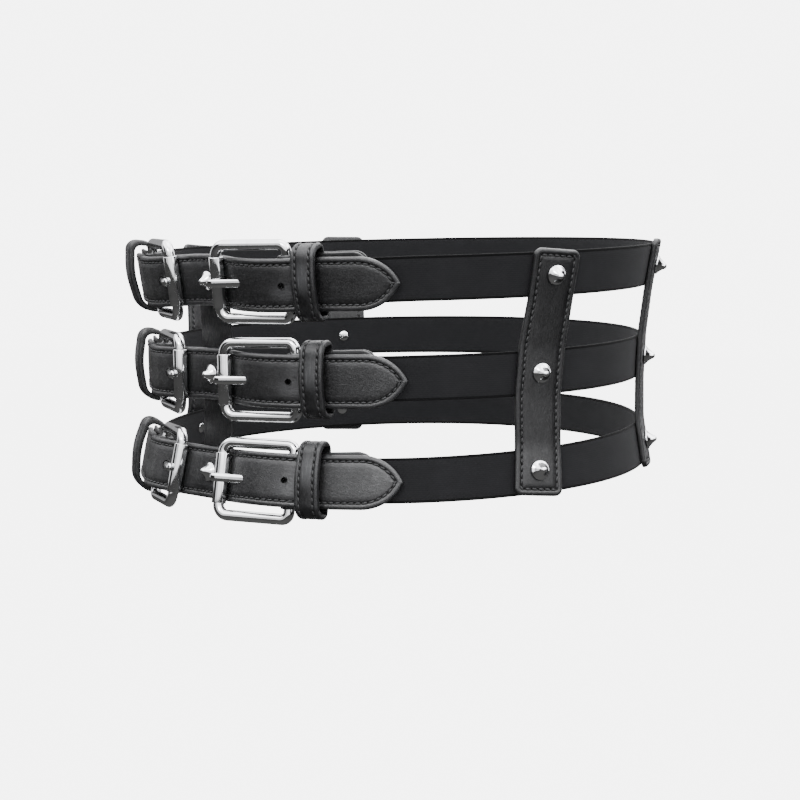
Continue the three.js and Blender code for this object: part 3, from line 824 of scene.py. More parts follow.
def smudge_group():
    """Fingermarks and hair scratches on polished metal."""
    nodes, given, result = new_group("polish_marks", {"Coordinate": None}, ["Mask", "Height"])
    smudges = nodes.noise(given["Coordinate"], 190.0, 4.0, 0.6)["Fac"]
    hairs = nodes.noise(nodes.stretched(given["Coordinate"], (0.3, 0.3, 2.4)), 900.0)["Fac"]
    nodes.fill(result["Mask"], nodes.ramp(smudges, 0.42, 0.75))
    nodes.fill(result["Height"], nodes.times_plus(hairs, 0.25, smudges))


def new_material(name, roughness, metallic=0.0, specular=0.5):
    material = bpy.data.materials.new(name)
    material.use_nodes = True
    shader = material.node_tree.nodes["Principled BSDF"]
    shader.inputs["Roughness"].default_value = roughness
    shader.inputs["Metallic"].default_value = metallic
    shader.inputs["Specular IOR Level"].default_value = specular
    return Nodes(material.node_tree), shader


def tinted(tone, share):
    return tuple(share * part for part in tone)


# A lighter patch, used for a worn spot and for a painted highlight: its middle along and across the blank,
# its half sizes and how strongly it is lightened.
Patch = namedtuple("Patch", "along across half_along half_across rubbing")


def patch_mask(nodes, patch, along, across, lines):
    sideways = nodes.math("DIVIDE", nodes.math("SUBTRACT", nodes.size(along), patch.along), patch.half_along)
    upward = nodes.math("DIVIDE", nodes.math("SUBTRACT", across, patch.across), patch.half_across)
    distance = nodes.math("SQRT", nodes.plus(nodes.times(sideways, sideways), nodes.times(upward, upward)))
    return nodes.times(nodes.ramp(distance, 0.2, 1.1, 1.0, 0.0), nodes.times_plus(lines, 0.5, 0.4))


def leather_material(name, finish, seam=None, patch=None, streaks=0.05, wear_and_sheen=0.05, shine=0.5):
    """Smooth black leather: fine grain, rubbed rims with painted sheen, painted shade in the seam groove,
    lengthwise lines.
    """
    nodes, shader = new_material(name, 0.42, specular=shine)
    vector, along, across, inset = nodes.flat_place()
    place = nodes.object_place()
    grain = nodes.group("leather_grain", {"Coordinate": place, "Pebble size": 0.55 * MM, "Creases": 0.6})
    # Lighter rims: partly rubbed wear, partly a painted highlight along the edges.
    rims_worn_and_lit = nodes.group("edge_wear", {"Coordinate": place, "Inset": inset, "Reach": 2.1 * MM})["Mask"]
    lines = nodes.group("lengthwise_streaks", {"Coordinate": vector})["Mask"]
    clouds = nodes.noise(nodes.stretched(vector, (0.5, 1.0, 1.0)), 190.0, 3.0, 0.55)["Fac"]
    mottle = nodes.noise(nodes.stretched(vector, (0.6, 1.0, 1.0)), 700.0, 3.0, 0.6)["Fac"]
    # Everything that lightens the leather: streaks, rims, patches and mottling, part wear and part painted
    # sheen.
    rubbed_and_lit = nodes.times_plus(lines, streaks * 0.35, nodes.times(rims_worn_and_lit, wear_and_sheen))
    # By the spare hole the patch is wear; on the keepers' face it is a painted highlight.
    if patch:
        rubbed_and_lit = nodes.times_plus(patch_mask(nodes, patch, along, across, lines), patch.rubbing, rubbed_and_lit)
    rubbed_and_lit = nodes.times_plus(nodes.ramp(mottle, 0.5, 0.72), 1.2 * wear_and_sheen, rubbed_and_lit)
    rubbed_and_lit = nodes.times_plus(nodes.ramp(clouds, 0.42, 0.7), 0.045, rubbed_and_lit, clamp=True)
    black = finish.leather_colour
    base = nodes.mix(nodes.ramp(grain["Shade"], 0.3, 0.9), tinted(black, 0.6), tinted(black, 1.4))
    colour = nodes.mix(rubbed_and_lit, base, finish.worn_and_sheen_colour)
    rough = nodes.ramp(mottle, 0.32, 0.68, 0.5, 0.3)
    rough = nodes.times_plus(rubbed_and_lit, 0.06, rough, clamp=True)
    if seam:
        # Painted shade: the seam groove darkened in colour.
        shadow = nodes.ramp(nodes.off(inset, seam), 0.35 * MM, 0.75 * MM, 1.0, 0.0)
        colour = nodes.mix(shadow, colour, tinted(black, 0.2))
        rough = nodes.times_plus(shadow, 0.4, rough, clamp=True)
    nodes.fill(shader.inputs["Base Color"], colour)
    nodes.fill(shader.inputs["Roughness"], rough)
    nodes.bump(shader, nodes.times_plus(mottle, 1.1, grain["Height"]), 0.5, 0.16 * MM)


def elastic_material(finish):
    """Ribbed webbing with a little dust and a dark selvedge."""
    nodes, shader = new_material("elastic_webbing", 0.9, specular=0.12)
    vector, along, across, inset = nodes.flat_place()
    weave = nodes.group("elastic_weave", {"Along": along, "Across": across})
    clouds = nodes.noise(vector, 70.0)["Fac"]
    black = finish.elastic_colour
    base = nodes.mix(weave["Shade"], tinted(black, 0.55), tinted(black, 1.5))
    dusty = nodes.mix(nodes.ramp(clouds, 0.4, 0.8, 0.0, 0.25), base, tinted(black, 1.9))
    selvedge = nodes.ramp(inset, 0.9 * MM, 1.5 * MM, 0.95, 0.0)
    nodes.fill(shader.inputs["Base Color"], nodes.mix(selvedge, dusty, tinted(black, 0.12)))
    nodes.fill(shader.inputs["Roughness"], nodes.ramp(weave["Shade"], 0.2, 0.9, 0.95, 0.8))
    shader.inputs["Sheen Weight"].default_value = 0.06
    shader.inputs["Sheen Roughness"].default_value = 0.5
    nodes.bump(shader, weave["Height"], 0.3, 0.1 * MM)


def thread_material(finish):
    """Twisted sewing thread."""
    nodes, shader = new_material("thread", 0.55)
    _, along, across, _ = nodes.flat_place()
    strand = nodes.wave(nodes.plus(nodes.times(along, 9000.0), nodes.times(across, 7000.0)))
    grey = finish.thread_colour
    nodes.fill(shader.inputs["Base Color"], nodes.mix(strand, tinted(grey, 0.5), tinted(grey, 1.7)))
    nodes.fill(shader.inputs["Roughness"], nodes.ramp(strand, 0.0, 1.0, 0.65, 0.45))
    nodes.bump(shader, strand, 0.4, 0.08 * MM)


def chrome_material(finish):
    """Bright plated metal with faint smudges."""
    nodes, shader = new_material("polished_chrome", 0.1, metallic=1.0)
    marks = nodes.group("polish_marks", {"Coordinate": nodes.object_place()})
    bright = finish.chrome_colour
    nodes.fill(shader.inputs["Base Color"], nodes.mix(marks["Mask"], bright, tinted(bright, 0.82)))
    nodes.fill(shader.inputs["Roughness"], nodes.ramp(marks["Mask"], 0.0, 1.0, 0.07, 0.17))
    nodes.bump(shader, marks["Height"], 0.12, 0.05 * MM)


# Pieces

class BELT_OT_finishes(bpy.types.Operator):
    """Make the belt's materials"""

    bl_idname = "belt.finishes"
    bl_label = "Materials"

    def execute(self, context):
        sizes = context.scene.belt_sizes
        finish = context.scene.belt_finish
        for make_group in (grain_group, wear_and_sheen_group, streak_group, rib_group, smudge_group):
            make_group()
        by_hole = Patch(sizes.hole_place + 0.5 * MM, -3 * MM, 8 * MM, 4.6 * MM, 0.5)
        # A painted highlight down the middle of each keeper's face.
        face_highlight = Patch(18 * MM, 0, 9 * MM, 3.6 * MM, 0.85)
        seam = finish.seam_inset
        leather_material("strap_leather", finish, seam, by_hole, streaks=0.12, wear_and_sheen=0.12, shine=0.68)
        leather_material("stitched_leather", finish, seam)
        leather_material("keeper_leather", finish, finish.keeper_seam, face_highlight, streaks=0.08, wear_and_sheen=0.06)
        leather_material("plain_leather", finish, streaks=0.04, shine=0.3)
        elastic_material(finish)
        thread_material(finish)
        chrome_material(finish)
        return {"FINISHED"}


class BELT_OT_elastics(bpy.types.Operator):
    """Weave the three elastic rows"""

    bl_idname = "belt.elastics"
    bl_label = "Elastic rows"

    def execute(self, context):
        plan = BeltPlan(context)
        half = plan.sizes.elastic_width / 2
        thick = plan.sizes.elastic_thickness / 2
        for row in plan.rows:
            line = plan.elastic(row)
            first, last = line.along[0], line.along[-1]
            stations = np.linspace(first, last, int((last - first) / (3 * MM)) + 1)
            grid = straight_grid(stations, half, ELASTIC_LINES, 3)
            height = pressed_height(grid[2], thick, 0.35 * MM)
            height = height - 0.16 * MM * hump(grid[2], 0.95 * MM, 0.2 * MM)
            blank = Blank(f"elastic_band_{row.name}", grid, height, -height)
            blank.lay(line.lay)
            close_up(blank.piece)
            shade(blank.piece)
            keep(blank.piece, "elastic_webbing", "elastic", f"elastic_{row.name}")
        return {"FINISHED"}


class BELT_OT_front_straps(bpy.types.Operator):
    """Cut, press and sew the three pointed front straps"""

    bl_idname = "belt.front_straps"
    bl_label = "Front straps"

    def prong_way(self, plan, row, sign, line):
        """A flat cutter for the slanting hole that the prong's shaft runs through."""
        sizes = plan.sizes
        matrix, reach = plan.buckle(row, sign)
        slope = atan2(plan.prong_rise, reach)
        steps = 12
        shaft = np.linspace(0.35, 0.92, steps + 1) * reach
        points = np.array([matrix @ Vector((x * cos(slope), 0, x * sin(slope))) for x in shaft])
        place, out, up = row.read(points)
        order = np.argsort(place)
        place, out, up = place[order], out[order], up[order]
        _, strap_out, strap_up = line.spot(place)
        bpy.ops.mesh.primitive_cylinder_add(vertices=20, radius=1, depth=1, rotation=(0, pi / 2, 0))
        cutter = added()
        edit_all(cutter)
        for step in range(1, steps):
            bpy.ops.mesh.select_all(action="SELECT")
            bpy.ops.mesh.bisect(plane_co=(-0.5 + step / steps, 0, 0), plane_no=(1, 0, 0))
        done_editing()
        flat = points_of(cutter)
        part = (flat[:, 0] + 0.5) * steps
        index = np.arange(steps + 1)
        x = np.interp(part, index, place)
        y = flat[:, 1] * (sizes.prong_width / 2 + PRONG_PLAY) + np.interp(part, index, up - strap_up)
        z = flat[:, 2] * (sizes.prong_thickness / 2 + PRONG_PLAY)
        z = z + np.interp(part, index, out - strap_out)
        move_points(cutter, np.stack([x, y, z], axis=1))
        close_up(cutter)
        return cutter

    def spare_hole(self, sizes, sign):
        bpy.ops.mesh.primitive_cylinder_add(
            vertices=28, radius=sizes.hole_radius, depth=10 * MM, location=(sign * sizes.hole_place, 0, 0)
        )
        return bpy.context.object

    def execute(self, context):
        plan = BeltPlan(context)
        sizes, finish = plan.sizes, plan.finish
        half_thick = sizes.strap_thickness / 2
        grid = pointed_grid(sizes, EDGE_LINES, 1.8 * MM)
        front, back = stitched_faces(plan, grid[2], half_thick, 0.12 * MM)
        seam = seam_round(ring_points(grid, finish.seam_inset), finish.stitch_pitch)
        height = half_thick - finish.groove_depth + STITCH_REST
        for row in plan.rows:
            line = plan.front_strap(row)
            blank = Blank(f"pointed_strap_{row.name}", grid, front, back)
            close_up(blank.piece)
            for sign in SIDES.values():
                cut_with(blank.piece, self.spare_hole(sizes, sign))
                cut_with(blank.piece, self.prong_way(plan, row, sign, line))
            blank.lay(line.lay)
            shade(blank.piece)
            keep(blank.piece, "strap_leather", "leather", f"front_strap_{row.name}")
            sew(f"pointed_strap_stitches_{row.name}", finish, [seam], height, line.lay)
        return {"FINISHED"}


class BELT_OT_end_tabs(bpy.types.Operator):
    """Fold the six end tabs round their heel bars"""

    bl_idname = "belt.end_tabs"
    bl_label = "End tabs"

    def execute(self, context):
        plan = BeltPlan(context)
        sizes, finish = plan.sizes, plan.finish
        half = sizes.tab_width / 2
        half_thick = sizes.tab_thickness / 2
        corner = 6.6 * MM
        narrowing = 12 * MM
        for row, side, sign in plan.sides():
            line = plan.end_tab(row, sign)
            run = line.along[-1]
            along, across, inset = square_grid(run, half, EDGE_LINES, corner, 1.6 * MM)
            across = across * np.interp(along[:, :1], [run / 2 - narrowing, run / 2, run / 2 + narrowing],
                                        [1, sizes.tab_fold_half / half, 1])
            grid = (along, across, inset)
            front = pressed_height(inset, half_thick, 0.5 * MM, rim=0.05 * MM, groove=finish.seam_inset,
                                   depth=0.22 * MM)
            back = -pressed_height(inset, half_thick, 0.3 * MM)
            blank = Blank(f"folded_tab_{row.name}_{side}", grid, front, back)
            close_up(blank.piece)
            cut_with(blank.piece, self.slot(sizes, run / 2))
            blank.lay(line.lay)
            shade(blank.piece)
            if sign < 0:
                close_up(blank.piece, 0.0005 * MM)
            keep(blank.piece, "stitched_leather", "leather", f"end_tab_{row.name}_{side}")
            seams = self.seams(finish, ring_points(grid, finish.seam_inset), run / 2)
            sew(f"folded_tab_stitches_{row.name}_{side}", finish, seams, half_thick - 0.05 * MM, line.lay)
        return {"FINISHED"}

    def slot(self, sizes, fold_middle):
        """A cutter for the prong's slot, from the inner flap to the front of the fold."""
        low, high = fold_middle - 8.8 * MM, fold_middle + 2.6 * MM
        radius = sizes.prong_width / 2 + sizes.clearance
        bpy.ops.mesh.primitive_cylinder_add(vertices=24, radius=radius, depth=6 * MM)
        slot = bpy.context.object
        points = points_of(slot)
        points[:, 0] += np.where(points[:, 0] > 0, high - radius, low + radius)
        move_points(slot, points)
        return slot

    def seams(self, finish, loop, fold_middle):
        """The seam on each flap: along both edges and round the end, stopping short of the fold."""
        stop = 15 * MM
        outer = loop[loop[:, 0] > fold_middle + stop]
        inner = loop[loop[:, 0] < fold_middle - stop]
        split = int(np.argmax(np.linalg.norm(np.diff(inner, axis=0), axis=1))) + 1
        inner = np.concatenate([inner[split:], inner[:split]])
        return [seam_round(path, finish.stitch_pitch) for path in (outer, inner)]


class BELT_OT_keepers(bpy.types.Operator):
    """Bend and sew the six keeper loops"""

    bl_idname = "belt.keepers"
    bl_label = "Keepers"

    def ring(self, plan):
        """The loop's outer line in the plane across the row, as up and out."""
        sizes = plan.sizes
        half = sizes.keeper_height / 2
        face = sizes.keeper_face - sizes.keeper_crown
        front_bend = 6.8 * MM
        back_bend = 4 * MM
        corners = [
            (half, face, front_bend, 0), (-half, face, front_bend, 90),
            (-half, plan.keeper_back, back_bend, 180), (half, plan.keeper_back, back_bend, 270),
        ]
        points = []
        for index, (up, out, bend, start) in enumerate(corners):
            up_centre = up - np.sign(up) * bend
            out_centre = out - bend if index < 2 else out + bend
            for turn in np.radians(start + np.linspace(0, 90, 14)):
                points.append((up_centre + bend * cos(turn), out_centre + bend * sin(turn)))
            if index == 0:
                for part in np.linspace(0.08, 0.92, 13):
                    points.append((up_centre * (1 - 2 * part), face + sizes.keeper_crown * sin(pi * part)))
        points.append(points[0])
        return np.array(points)

    def execute(self, context):
        plan = BeltPlan(context)
        sizes, finish = plan.sizes, plan.finish
        half = sizes.keeper_width / 2
        groove = finish.keeper_seam
        ring = self.ring(plan)
        lengths = distances(ring)
        round_length = lengths[-1]
        count = int(round_length / (1.2 * MM))
        stations = np.linspace(0, round_length, count + 1)
        grid = straight_grid(stations, half, KEEPER_LINES, 3)
        away = np.interp(stations, lengths, ring[:, 1]) - plan.keeper_back
        thin, thick = sizes.keeper_back, sizes.keeper_thickness
        thickness = thin + (thick - thin) * smoothstep(away, 0, 4 * MM)
        fullness = (thickness / thick)[:, None]
        front = fullness * pressed_height(grid[2], 0, 0.85 * MM, rim=0.2 * MM, groove=groove,
                                          depth=finish.keeper_groove, crown=0.12 * MM)
        back = -thickness[:, None] - fullness * pressed_height(grid[2], 0, 0.6 * MM)
        hidden_depth = 3 * MM
        shown = stations[away > hidden_depth]
        gap_at = int(np.argmax(np.diff(shown)))
        sewn = np.linspace(shown[gap_at + 1], shown[gap_at] + round_length, count)
        paths = [np.stack([sewn, np.full(count, edge * (half - groove))], axis=1) for edge in (-1, 1)]
        seams = [seam_round(path, finish.stitch_pitch) for path in paths]
        rest = 0.32 * MM - finish.keeper_groove

        def on_ring(x):
            return on_line(np.mod(x, round_length), lengths, ring)

        for row, side, sign in plan.sides():
            push = row.shape.right_push if sign < 0 else 0

            def lay(flat, row=row, sign=sign, push=push):
                x, y, z = flat.T
                window = 0.8 * MM
                middle = (on_ring(x - window) + 2 * on_ring(x) + on_ring(x + window)) / 4
                run = unit(on_ring(x + window) - on_ring(x - window))
                up = middle[:, 0] + run[:, 1] * z
                out = middle[:, 1] - run[:, 0] * z
                height = up + sizes.keeper_lift + push * (out - plan.outer_flap)
                return row.at(sign * (sizes.keeper_place + half + y), out, height)

            blank = Blank(f"keeper_loop_{row.name}_{side}", grid, front, back)
            self.open_ends(blank)
            blank.lay(lay)
            close_up(blank.piece)
            shade(blank.piece)
            keep(blank.piece, "keeper_leather", "leather", f"keeper_{row.name}_{side}")
            sew(f"keeper_stitches_{row.name}_{side}", finish, seams, rest, lay)
        return {"FINISHED"}

    def open_ends(self, blank):
        """Takes away the two end faces, which meet where the loop closes."""
        last = blank.i.max()

        def at_end(polygon):
            ends = [blank.i[k] for k in polygon.vertices]
            return all(k == 0 for k in ends) or all(k == last for k in ends)

        select_faces(blank.piece, at_end)
        bpy.ops.mesh.delete(type="FACE")
        bpy.ops.mesh.select_mode(type="VERT")
        done_editing()


# angles are where the strap crosses each row, middle is how far out it lies, and overhang is how far it
# stands past the outer elastics' edges.
Upright = namedtuple("Upright", "name node angles middle thickness overhang corner stitched")


class BELT_OT_uprights(bpy.types.Operator):
    """Cut and sew the five straps that run down the rows"""

    bl_idname = "belt.uprights"
    bl_label = "Uprights"

    def levels(self, plan, overhang):
        """The row and the rise of each level that the strap is laid through, from top to bottom."""
        half_elastic = plan.sizes.elastic_width / 2
        flat_edge = half_elastic + 0.8 * MM
        last = len(plan.rows) - 1
        levels = [(0, half_elastic + overhang)]
        for index in range(last):
            levels += [(index, 0.0), (index, -flat_edge), (index + 1, flat_edge)]
        return levels + [(last, 0.0), (last, -half_elastic - overhang)]

    def execute(self, context):
        plan = BeltPlan(context)
        sizes = plan.sizes
        corner = 3.4 * MM
        self.make(plan, Upright("center", "center_strap", (0, 0, 0), plan.centre_upright,
                                sizes.centre_thickness, 0.6 * MM, 1 * MM, False))
        for side, sign in SIDES.items():
            for place, angles in UPRIGHT_ANGLES.items():
                turned = tuple(sign * angle for angle in angles)
                self.make(plan, Upright(f"{place}_{side}", f"{place}_strap_{side}", turned, plan.upright,
                                        sizes.upright_thickness, UPRIGHT_OVERHANGS[place], corner, True))
        return {"FINISHED"}

    def make(self, plan, upright):
        finish = plan.finish
        rows = plan.rows
        places = [float(row.place_at(radians(angle))) for row, angle in zip(rows, upright.angles)]
        fall = rows[0].at(places[0], upright.middle, 0) - rows[-1].at(places[-1], upright.middle, 0)
        turns = []
        for row, place in zip(rows, places):
            _, along, upward, _ = row.axes(np.array([place]))
            turns.append(atan2(np.dot(fall, along[0]), np.dot(fall, upward[0])))
        levels = self.levels(plan, upright.overhang)

        def at_level(level, y, z):
            index, rise = level
            sine, cosine = sin(turns[index]), cos(turns[index])
            place = places[index] - y * cosine + rise * sine
            return rows[index].at(place, upright.middle + z, rise * cosine + y * sine)

        centres = np.array([at_level(level, np.array([0.0]), np.array([0.0]))[0] for level in levels])
        marks = distances(centres)
        run = marks[-1]

        def straight(x, y, z):
            layers = np.array([at_level(level, y, z) for level in levels])
            part = np.interp(x, marks, np.arange(len(levels)))
            below = np.clip(np.floor(part).astype(int), 0, len(levels) - 2)
            share = (part - below)[:, None]
            index = np.arange(len(x))
            return layers[below, index] * (1 - share) + layers[below + 1, index] * share

        def lay(flat):
            """Laid straight from level to level, then averaged along the strap, which rounds its bends."""
            x, y, z = flat.T
            window = np.maximum(np.minimum(np.minimum(x, run - x), 2.6 * MM), 0)
            weights = {-1: 1, -0.5: 2, 0: 3, 0.5: 2, 1: 1}
            total = sum(weight * straight(x + shift * window, y, z) for shift, weight in weights.items())
            return total / sum(weights.values())

        lines = EDGE_LINES if upright.stitched else PLAIN_LINES
        grid = square_grid(run, plan.sizes.upright_width / 2, lines, upright.corner, 1.8 * MM)
        half_thick = upright.thickness / 2
        front, back = stitched_faces(plan, grid[2], half_thick, 0.1 * MM)
        if not upright.stitched:
            front = pressed_height(grid[2], half_thick, 0.7 * MM)
        blank = Blank(f"upright_{upright.name}", grid, front, back)
        blank.lay(lay)
        close_up(blank.piece)
        shade(blank.piece)
        material = "stitched_leather" if upright.stitched else "plain_leather"
        keep(blank.piece, material, "leather", upright.node)
        if upright.stitched:
            seam = seam_round(ring_points(grid, finish.seam_inset), finish.stitch_pitch)
            heights = {"front": half_thick - finish.groove_depth + STITCH_REST, "back": -half_thick}
            for face, height in heights.items():
                sew(f"upright_stitches_{upright.name}_{face}", finish, [seam], height, lay)


class BELT_OT_buckles(bpy.types.Operator):
    """Bend the six buckle frames and make their rollers and prongs"""

    bl_idname = "belt.buckles"
    bl_label = "Buckles"

    def frame_ring(self, sizes, reach):
        """A closed wire: straights extruded and corners spun from one circle."""
        half = sizes.frame_height / 2 - sizes.wire_radius
        front, heel = sizes.front_corner, sizes.heel_corner
        bpy.ops.mesh.primitive_circle_add(
            vertices=24, radius=sizes.wire_radius, location=(heel, -half, 0), rotation=(0, pi / 2, 0)
        )
        ring = added()
        edit_all(ring)
        straights_and_centres = [
            ((reach - front - heel, 0, 0), (reach - front, -half + front, 0)),
            ((0, 2 * half - 2 * front, 0), (reach - front, half - front, 0)),
            ((-(reach - front - heel), 0, 0), (heel, half - heel, 0)),
            ((0, -(2 * half - 2 * heel), 0), (heel, -half + heel, 0)),
        ]
        for straight, centre in straights_and_centres:
            bpy.ops.mesh.extrude_edges_move(TRANSFORM_OT_translate={"value": straight})
            bpy.ops.mesh.spin(steps=10, angle=-pi / 2, center=centre, axis=(0, 0, 1))
        done_editing()
        close_up(ring, 0.02 * MM)
        shade(ring, 60)
        return ring

    def roller(self, sizes, reach):
        """A short tube on the front bar, with rolled ends."""
        half = sizes.frame_height / 2 - sizes.wire_radius - sizes.front_corner - 0.2 * MM
        wall = 0.45 * MM
        bore_depth = 1.6 * MM
        bpy.ops.mesh.primitive_cylinder_add(
            vertices=40, radius=sizes.roller_radius, depth=2 * half, rotation=(pi / 2, 0, 0)
        )
        tube = added()
        select_faces(tube, lambda polygon: abs(polygon.normal.y) > 0.9)
        bpy.ops.mesh.inset(thickness=wall, use_individual=True)
        bpy.ops.mesh.extrude_faces_move(TRANSFORM_OT_shrink_fatten={"value": -bore_depth})
        bpy.ops.mesh.select_mode(type="VERT")
        done_editing()
        bevel = tube.modifiers.new("ends", "BEVEL")
        bevel.width = 0.18 * MM
        bevel.segments = 3
        bevel.limit_method = "ANGLE"
        bevel.angle_limit = radians(50)
        apply_modifiers(tube)
        close_up(tube, 0.001 * MM)
        shade(tube, 40)
        tube.data.transform(Matrix.Translation((reach, 0, 0)))
        return tube

    def prong(self, plan, reach):
        """A rounded bar from the eye on the heel bar to a bent tip past the roller."""
        sizes = plan.sizes
        slope = atan2(plan.prong_rise, reach)
        shaft = reach / cos(slope) + sizes.prong_overhang
        half_w = sizes.prong_width / 2
        half_t = sizes.prong_thickness / 2
        eye = sizes.wire_radius + 0.35 * MM
        eye_wall = 0.3 * MM
        bar_start = eye - eye_wall
        # How far before the tip, how far the bar dips there, and its shares of the full width and thickness.
        tip = [
            (3, 0.12, 1, 1.02), (1.8, 0.35, 1, 1), (0.9, 0.6, 0.93, 0.9),
            (0.35, 0.75, 0.75, 0.7), (0.08, 0.82, 0.45, 0.42), (0, 0.85, 0.12, 0.12),
        ]
        straight = (bar_start, eye + 2 * MM, shaft * 0.5, shaft - sizes.prong_overhang)
        stations = [(x, 0, 0, 1, 1, 1) for x in straight]
        stations += [(shaft - before * MM, 0, -dip * MM, 1, wide, thick) for before, dip, wide, thick in tip]
        bpy.ops.mesh.primitive_circle_add(vertices=20, radius=1, fill_type="NGON", rotation=(0, pi / 2, 0))
        bar = added()
        edit_all(bar)
        bpy.ops.transform.resize(value=(1, half_w, half_t))
        bpy.ops.transform.translate(value=(bar_start, 0, 0))
        extrude_through(stations)
        done_editing()
        bpy.ops.mesh.primitive_torus_add(
            major_segments=40, minor_segments=14, major_radius=eye, minor_radius=eye_wall,
            rotation=(pi / 2, 0, 0),
        )
        loop = added()
        edit_all(loop)
        bpy.ops.transform.resize(value=(1, half_w / eye_wall, 1))
        done_editing()
        bar.select_set(True)
        bpy.context.view_layer.objects.active = bar
        bpy.ops.object.join()
        close_up(bar, 0.001 * MM)
        shade(bar, 50)
        bar.data.transform(Matrix.Rotation(-slope, 4, "Y"))
        return bar

    def execute(self, context):
        plan = BeltPlan(context)
        for row, side, sign in plan.sides():
            matrix, reach = plan.buckle(row, sign)
            pieces = (
                (self.frame_ring(plan.sizes, reach), "buckle_wire", "buckle_frame"),
                (self.roller(plan.sizes, reach), "buckle_roller", "roller"),
                (self.prong(plan, reach), "buckle_prong", "prong"),
            )
            for piece, name, node in pieces:
                piece.name = piece.data.name = f"{name}_{row.name}_{side}"
                piece.data.transform(matrix)
                keep(piece, "polished_chrome", "chrome", f"{node}_{row.name}_{side}")
        return {"FINISHED"}


class BELT_OT_studs(bpy.types.Operator):
    """Turn a cone stud for the centre and one for the sides, and set a copy at every crossing"""

    bl_idname = "belt.studs"
    bl_label = "Studs"

    def turned(self, sizes, face, back):
        """A stud with its cone up +Z: a flange, a cone with a blunt tip, a post and a back cap."""
        radius, height = sizes.stud_radius, sizes.stud_height
        post, cap = 0.9 * MM, 2.6 * MM
        # The cap, as shares of its radius and millimetres below its face, from the middle of its back.
        cap_profile = [(0.02, 0.7), (0.35, 0.66), (0.7, 0.52), (0.93, 0.3), (1, 0.12), (1, 0)]
        # The flange and the cone's foot, as shares of the stud's radius and millimetres above the strap.
        foot_profile = [
            (0.94, 0), (1, 0.12), (1, 0.42), (0.975, 0.6), (0.9, 0.78),
            (0.74, 1.35), (0.57, 2.2), (0.42, 3.1),
        ]
        # The blunt tip, as shares of the stud's radius and millimetres below the top.
        tip_profile = [(0.33, 1), (0.26, 0.5), (0.15, 0.14), (0.01, 0)]
        profile = [(cap * share, back - low * MM) for share, low in cap_profile]
        profile += [(post, back + 0.3 * MM), (post, face)]
        profile += [(radius * share, face + up * MM) for share, up in foot_profile]
        profile += [(radius * share, face + height - low * MM) for share, low in tip_profile]
        bpy.ops.mesh.primitive_circle_add(
            vertices=32, radius=profile[0][0], fill_type="NGON", location=(0, 0, profile[0][1])
        )
        stud = added()
        edit_all(stud)
        extrude_through([(0, 0, z, wide, wide, 1) for wide, z in profile])
        done_editing()
        close_up(stud, 0.0005 * MM)
        shade(stud, 38)
        return stud

    def execute(self, context):
        plan = BeltPlan(context)
        sizes = plan.sizes
        gap = sizes.clearance
        centre = self.turned(sizes, gap + plan.strap_at_centre + sizes.strap_thickness / 2,
                             plan.centre_upright - sizes.centre_thickness / 2 - gap)
        outer = self.turned(sizes, gap + plan.upright + sizes.upright_thickness / 2,
                            -sizes.elastic_thickness - gap)
        for row in plan.rows:
            self.place(centre, f"center_{row.name}", row, row.shape.stud_place)
        for side, sign in SIDES.items():
            for name, angles in UPRIGHT_ANGLES.items():
                for row, angle in zip(plan.rows, angles):
                    self.place(outer, f"{name}_{side}_{row.name}", row, row.place_at(radians(sign * angle)))
        remove(centre)
        remove(outer)
        return {"FINISHED"}

    def place(self, model, label, row, place):
        """A copy of a stud with its own mesh, set at a place of a row."""
        origin, along, upward, outward = (v[0] for v in row.axes(np.array([place])))
        stud = model.copy()
        stud.data = model.data.copy()
        stud.name = stud.data.name = f"cone_stud_{label}"
        bpy.context.collection.objects.link(stud)
        stud.data.transform(placing(along, upward, outward, origin))
        keep(stud, "polished_chrome", "chrome", f"stud_{label}")


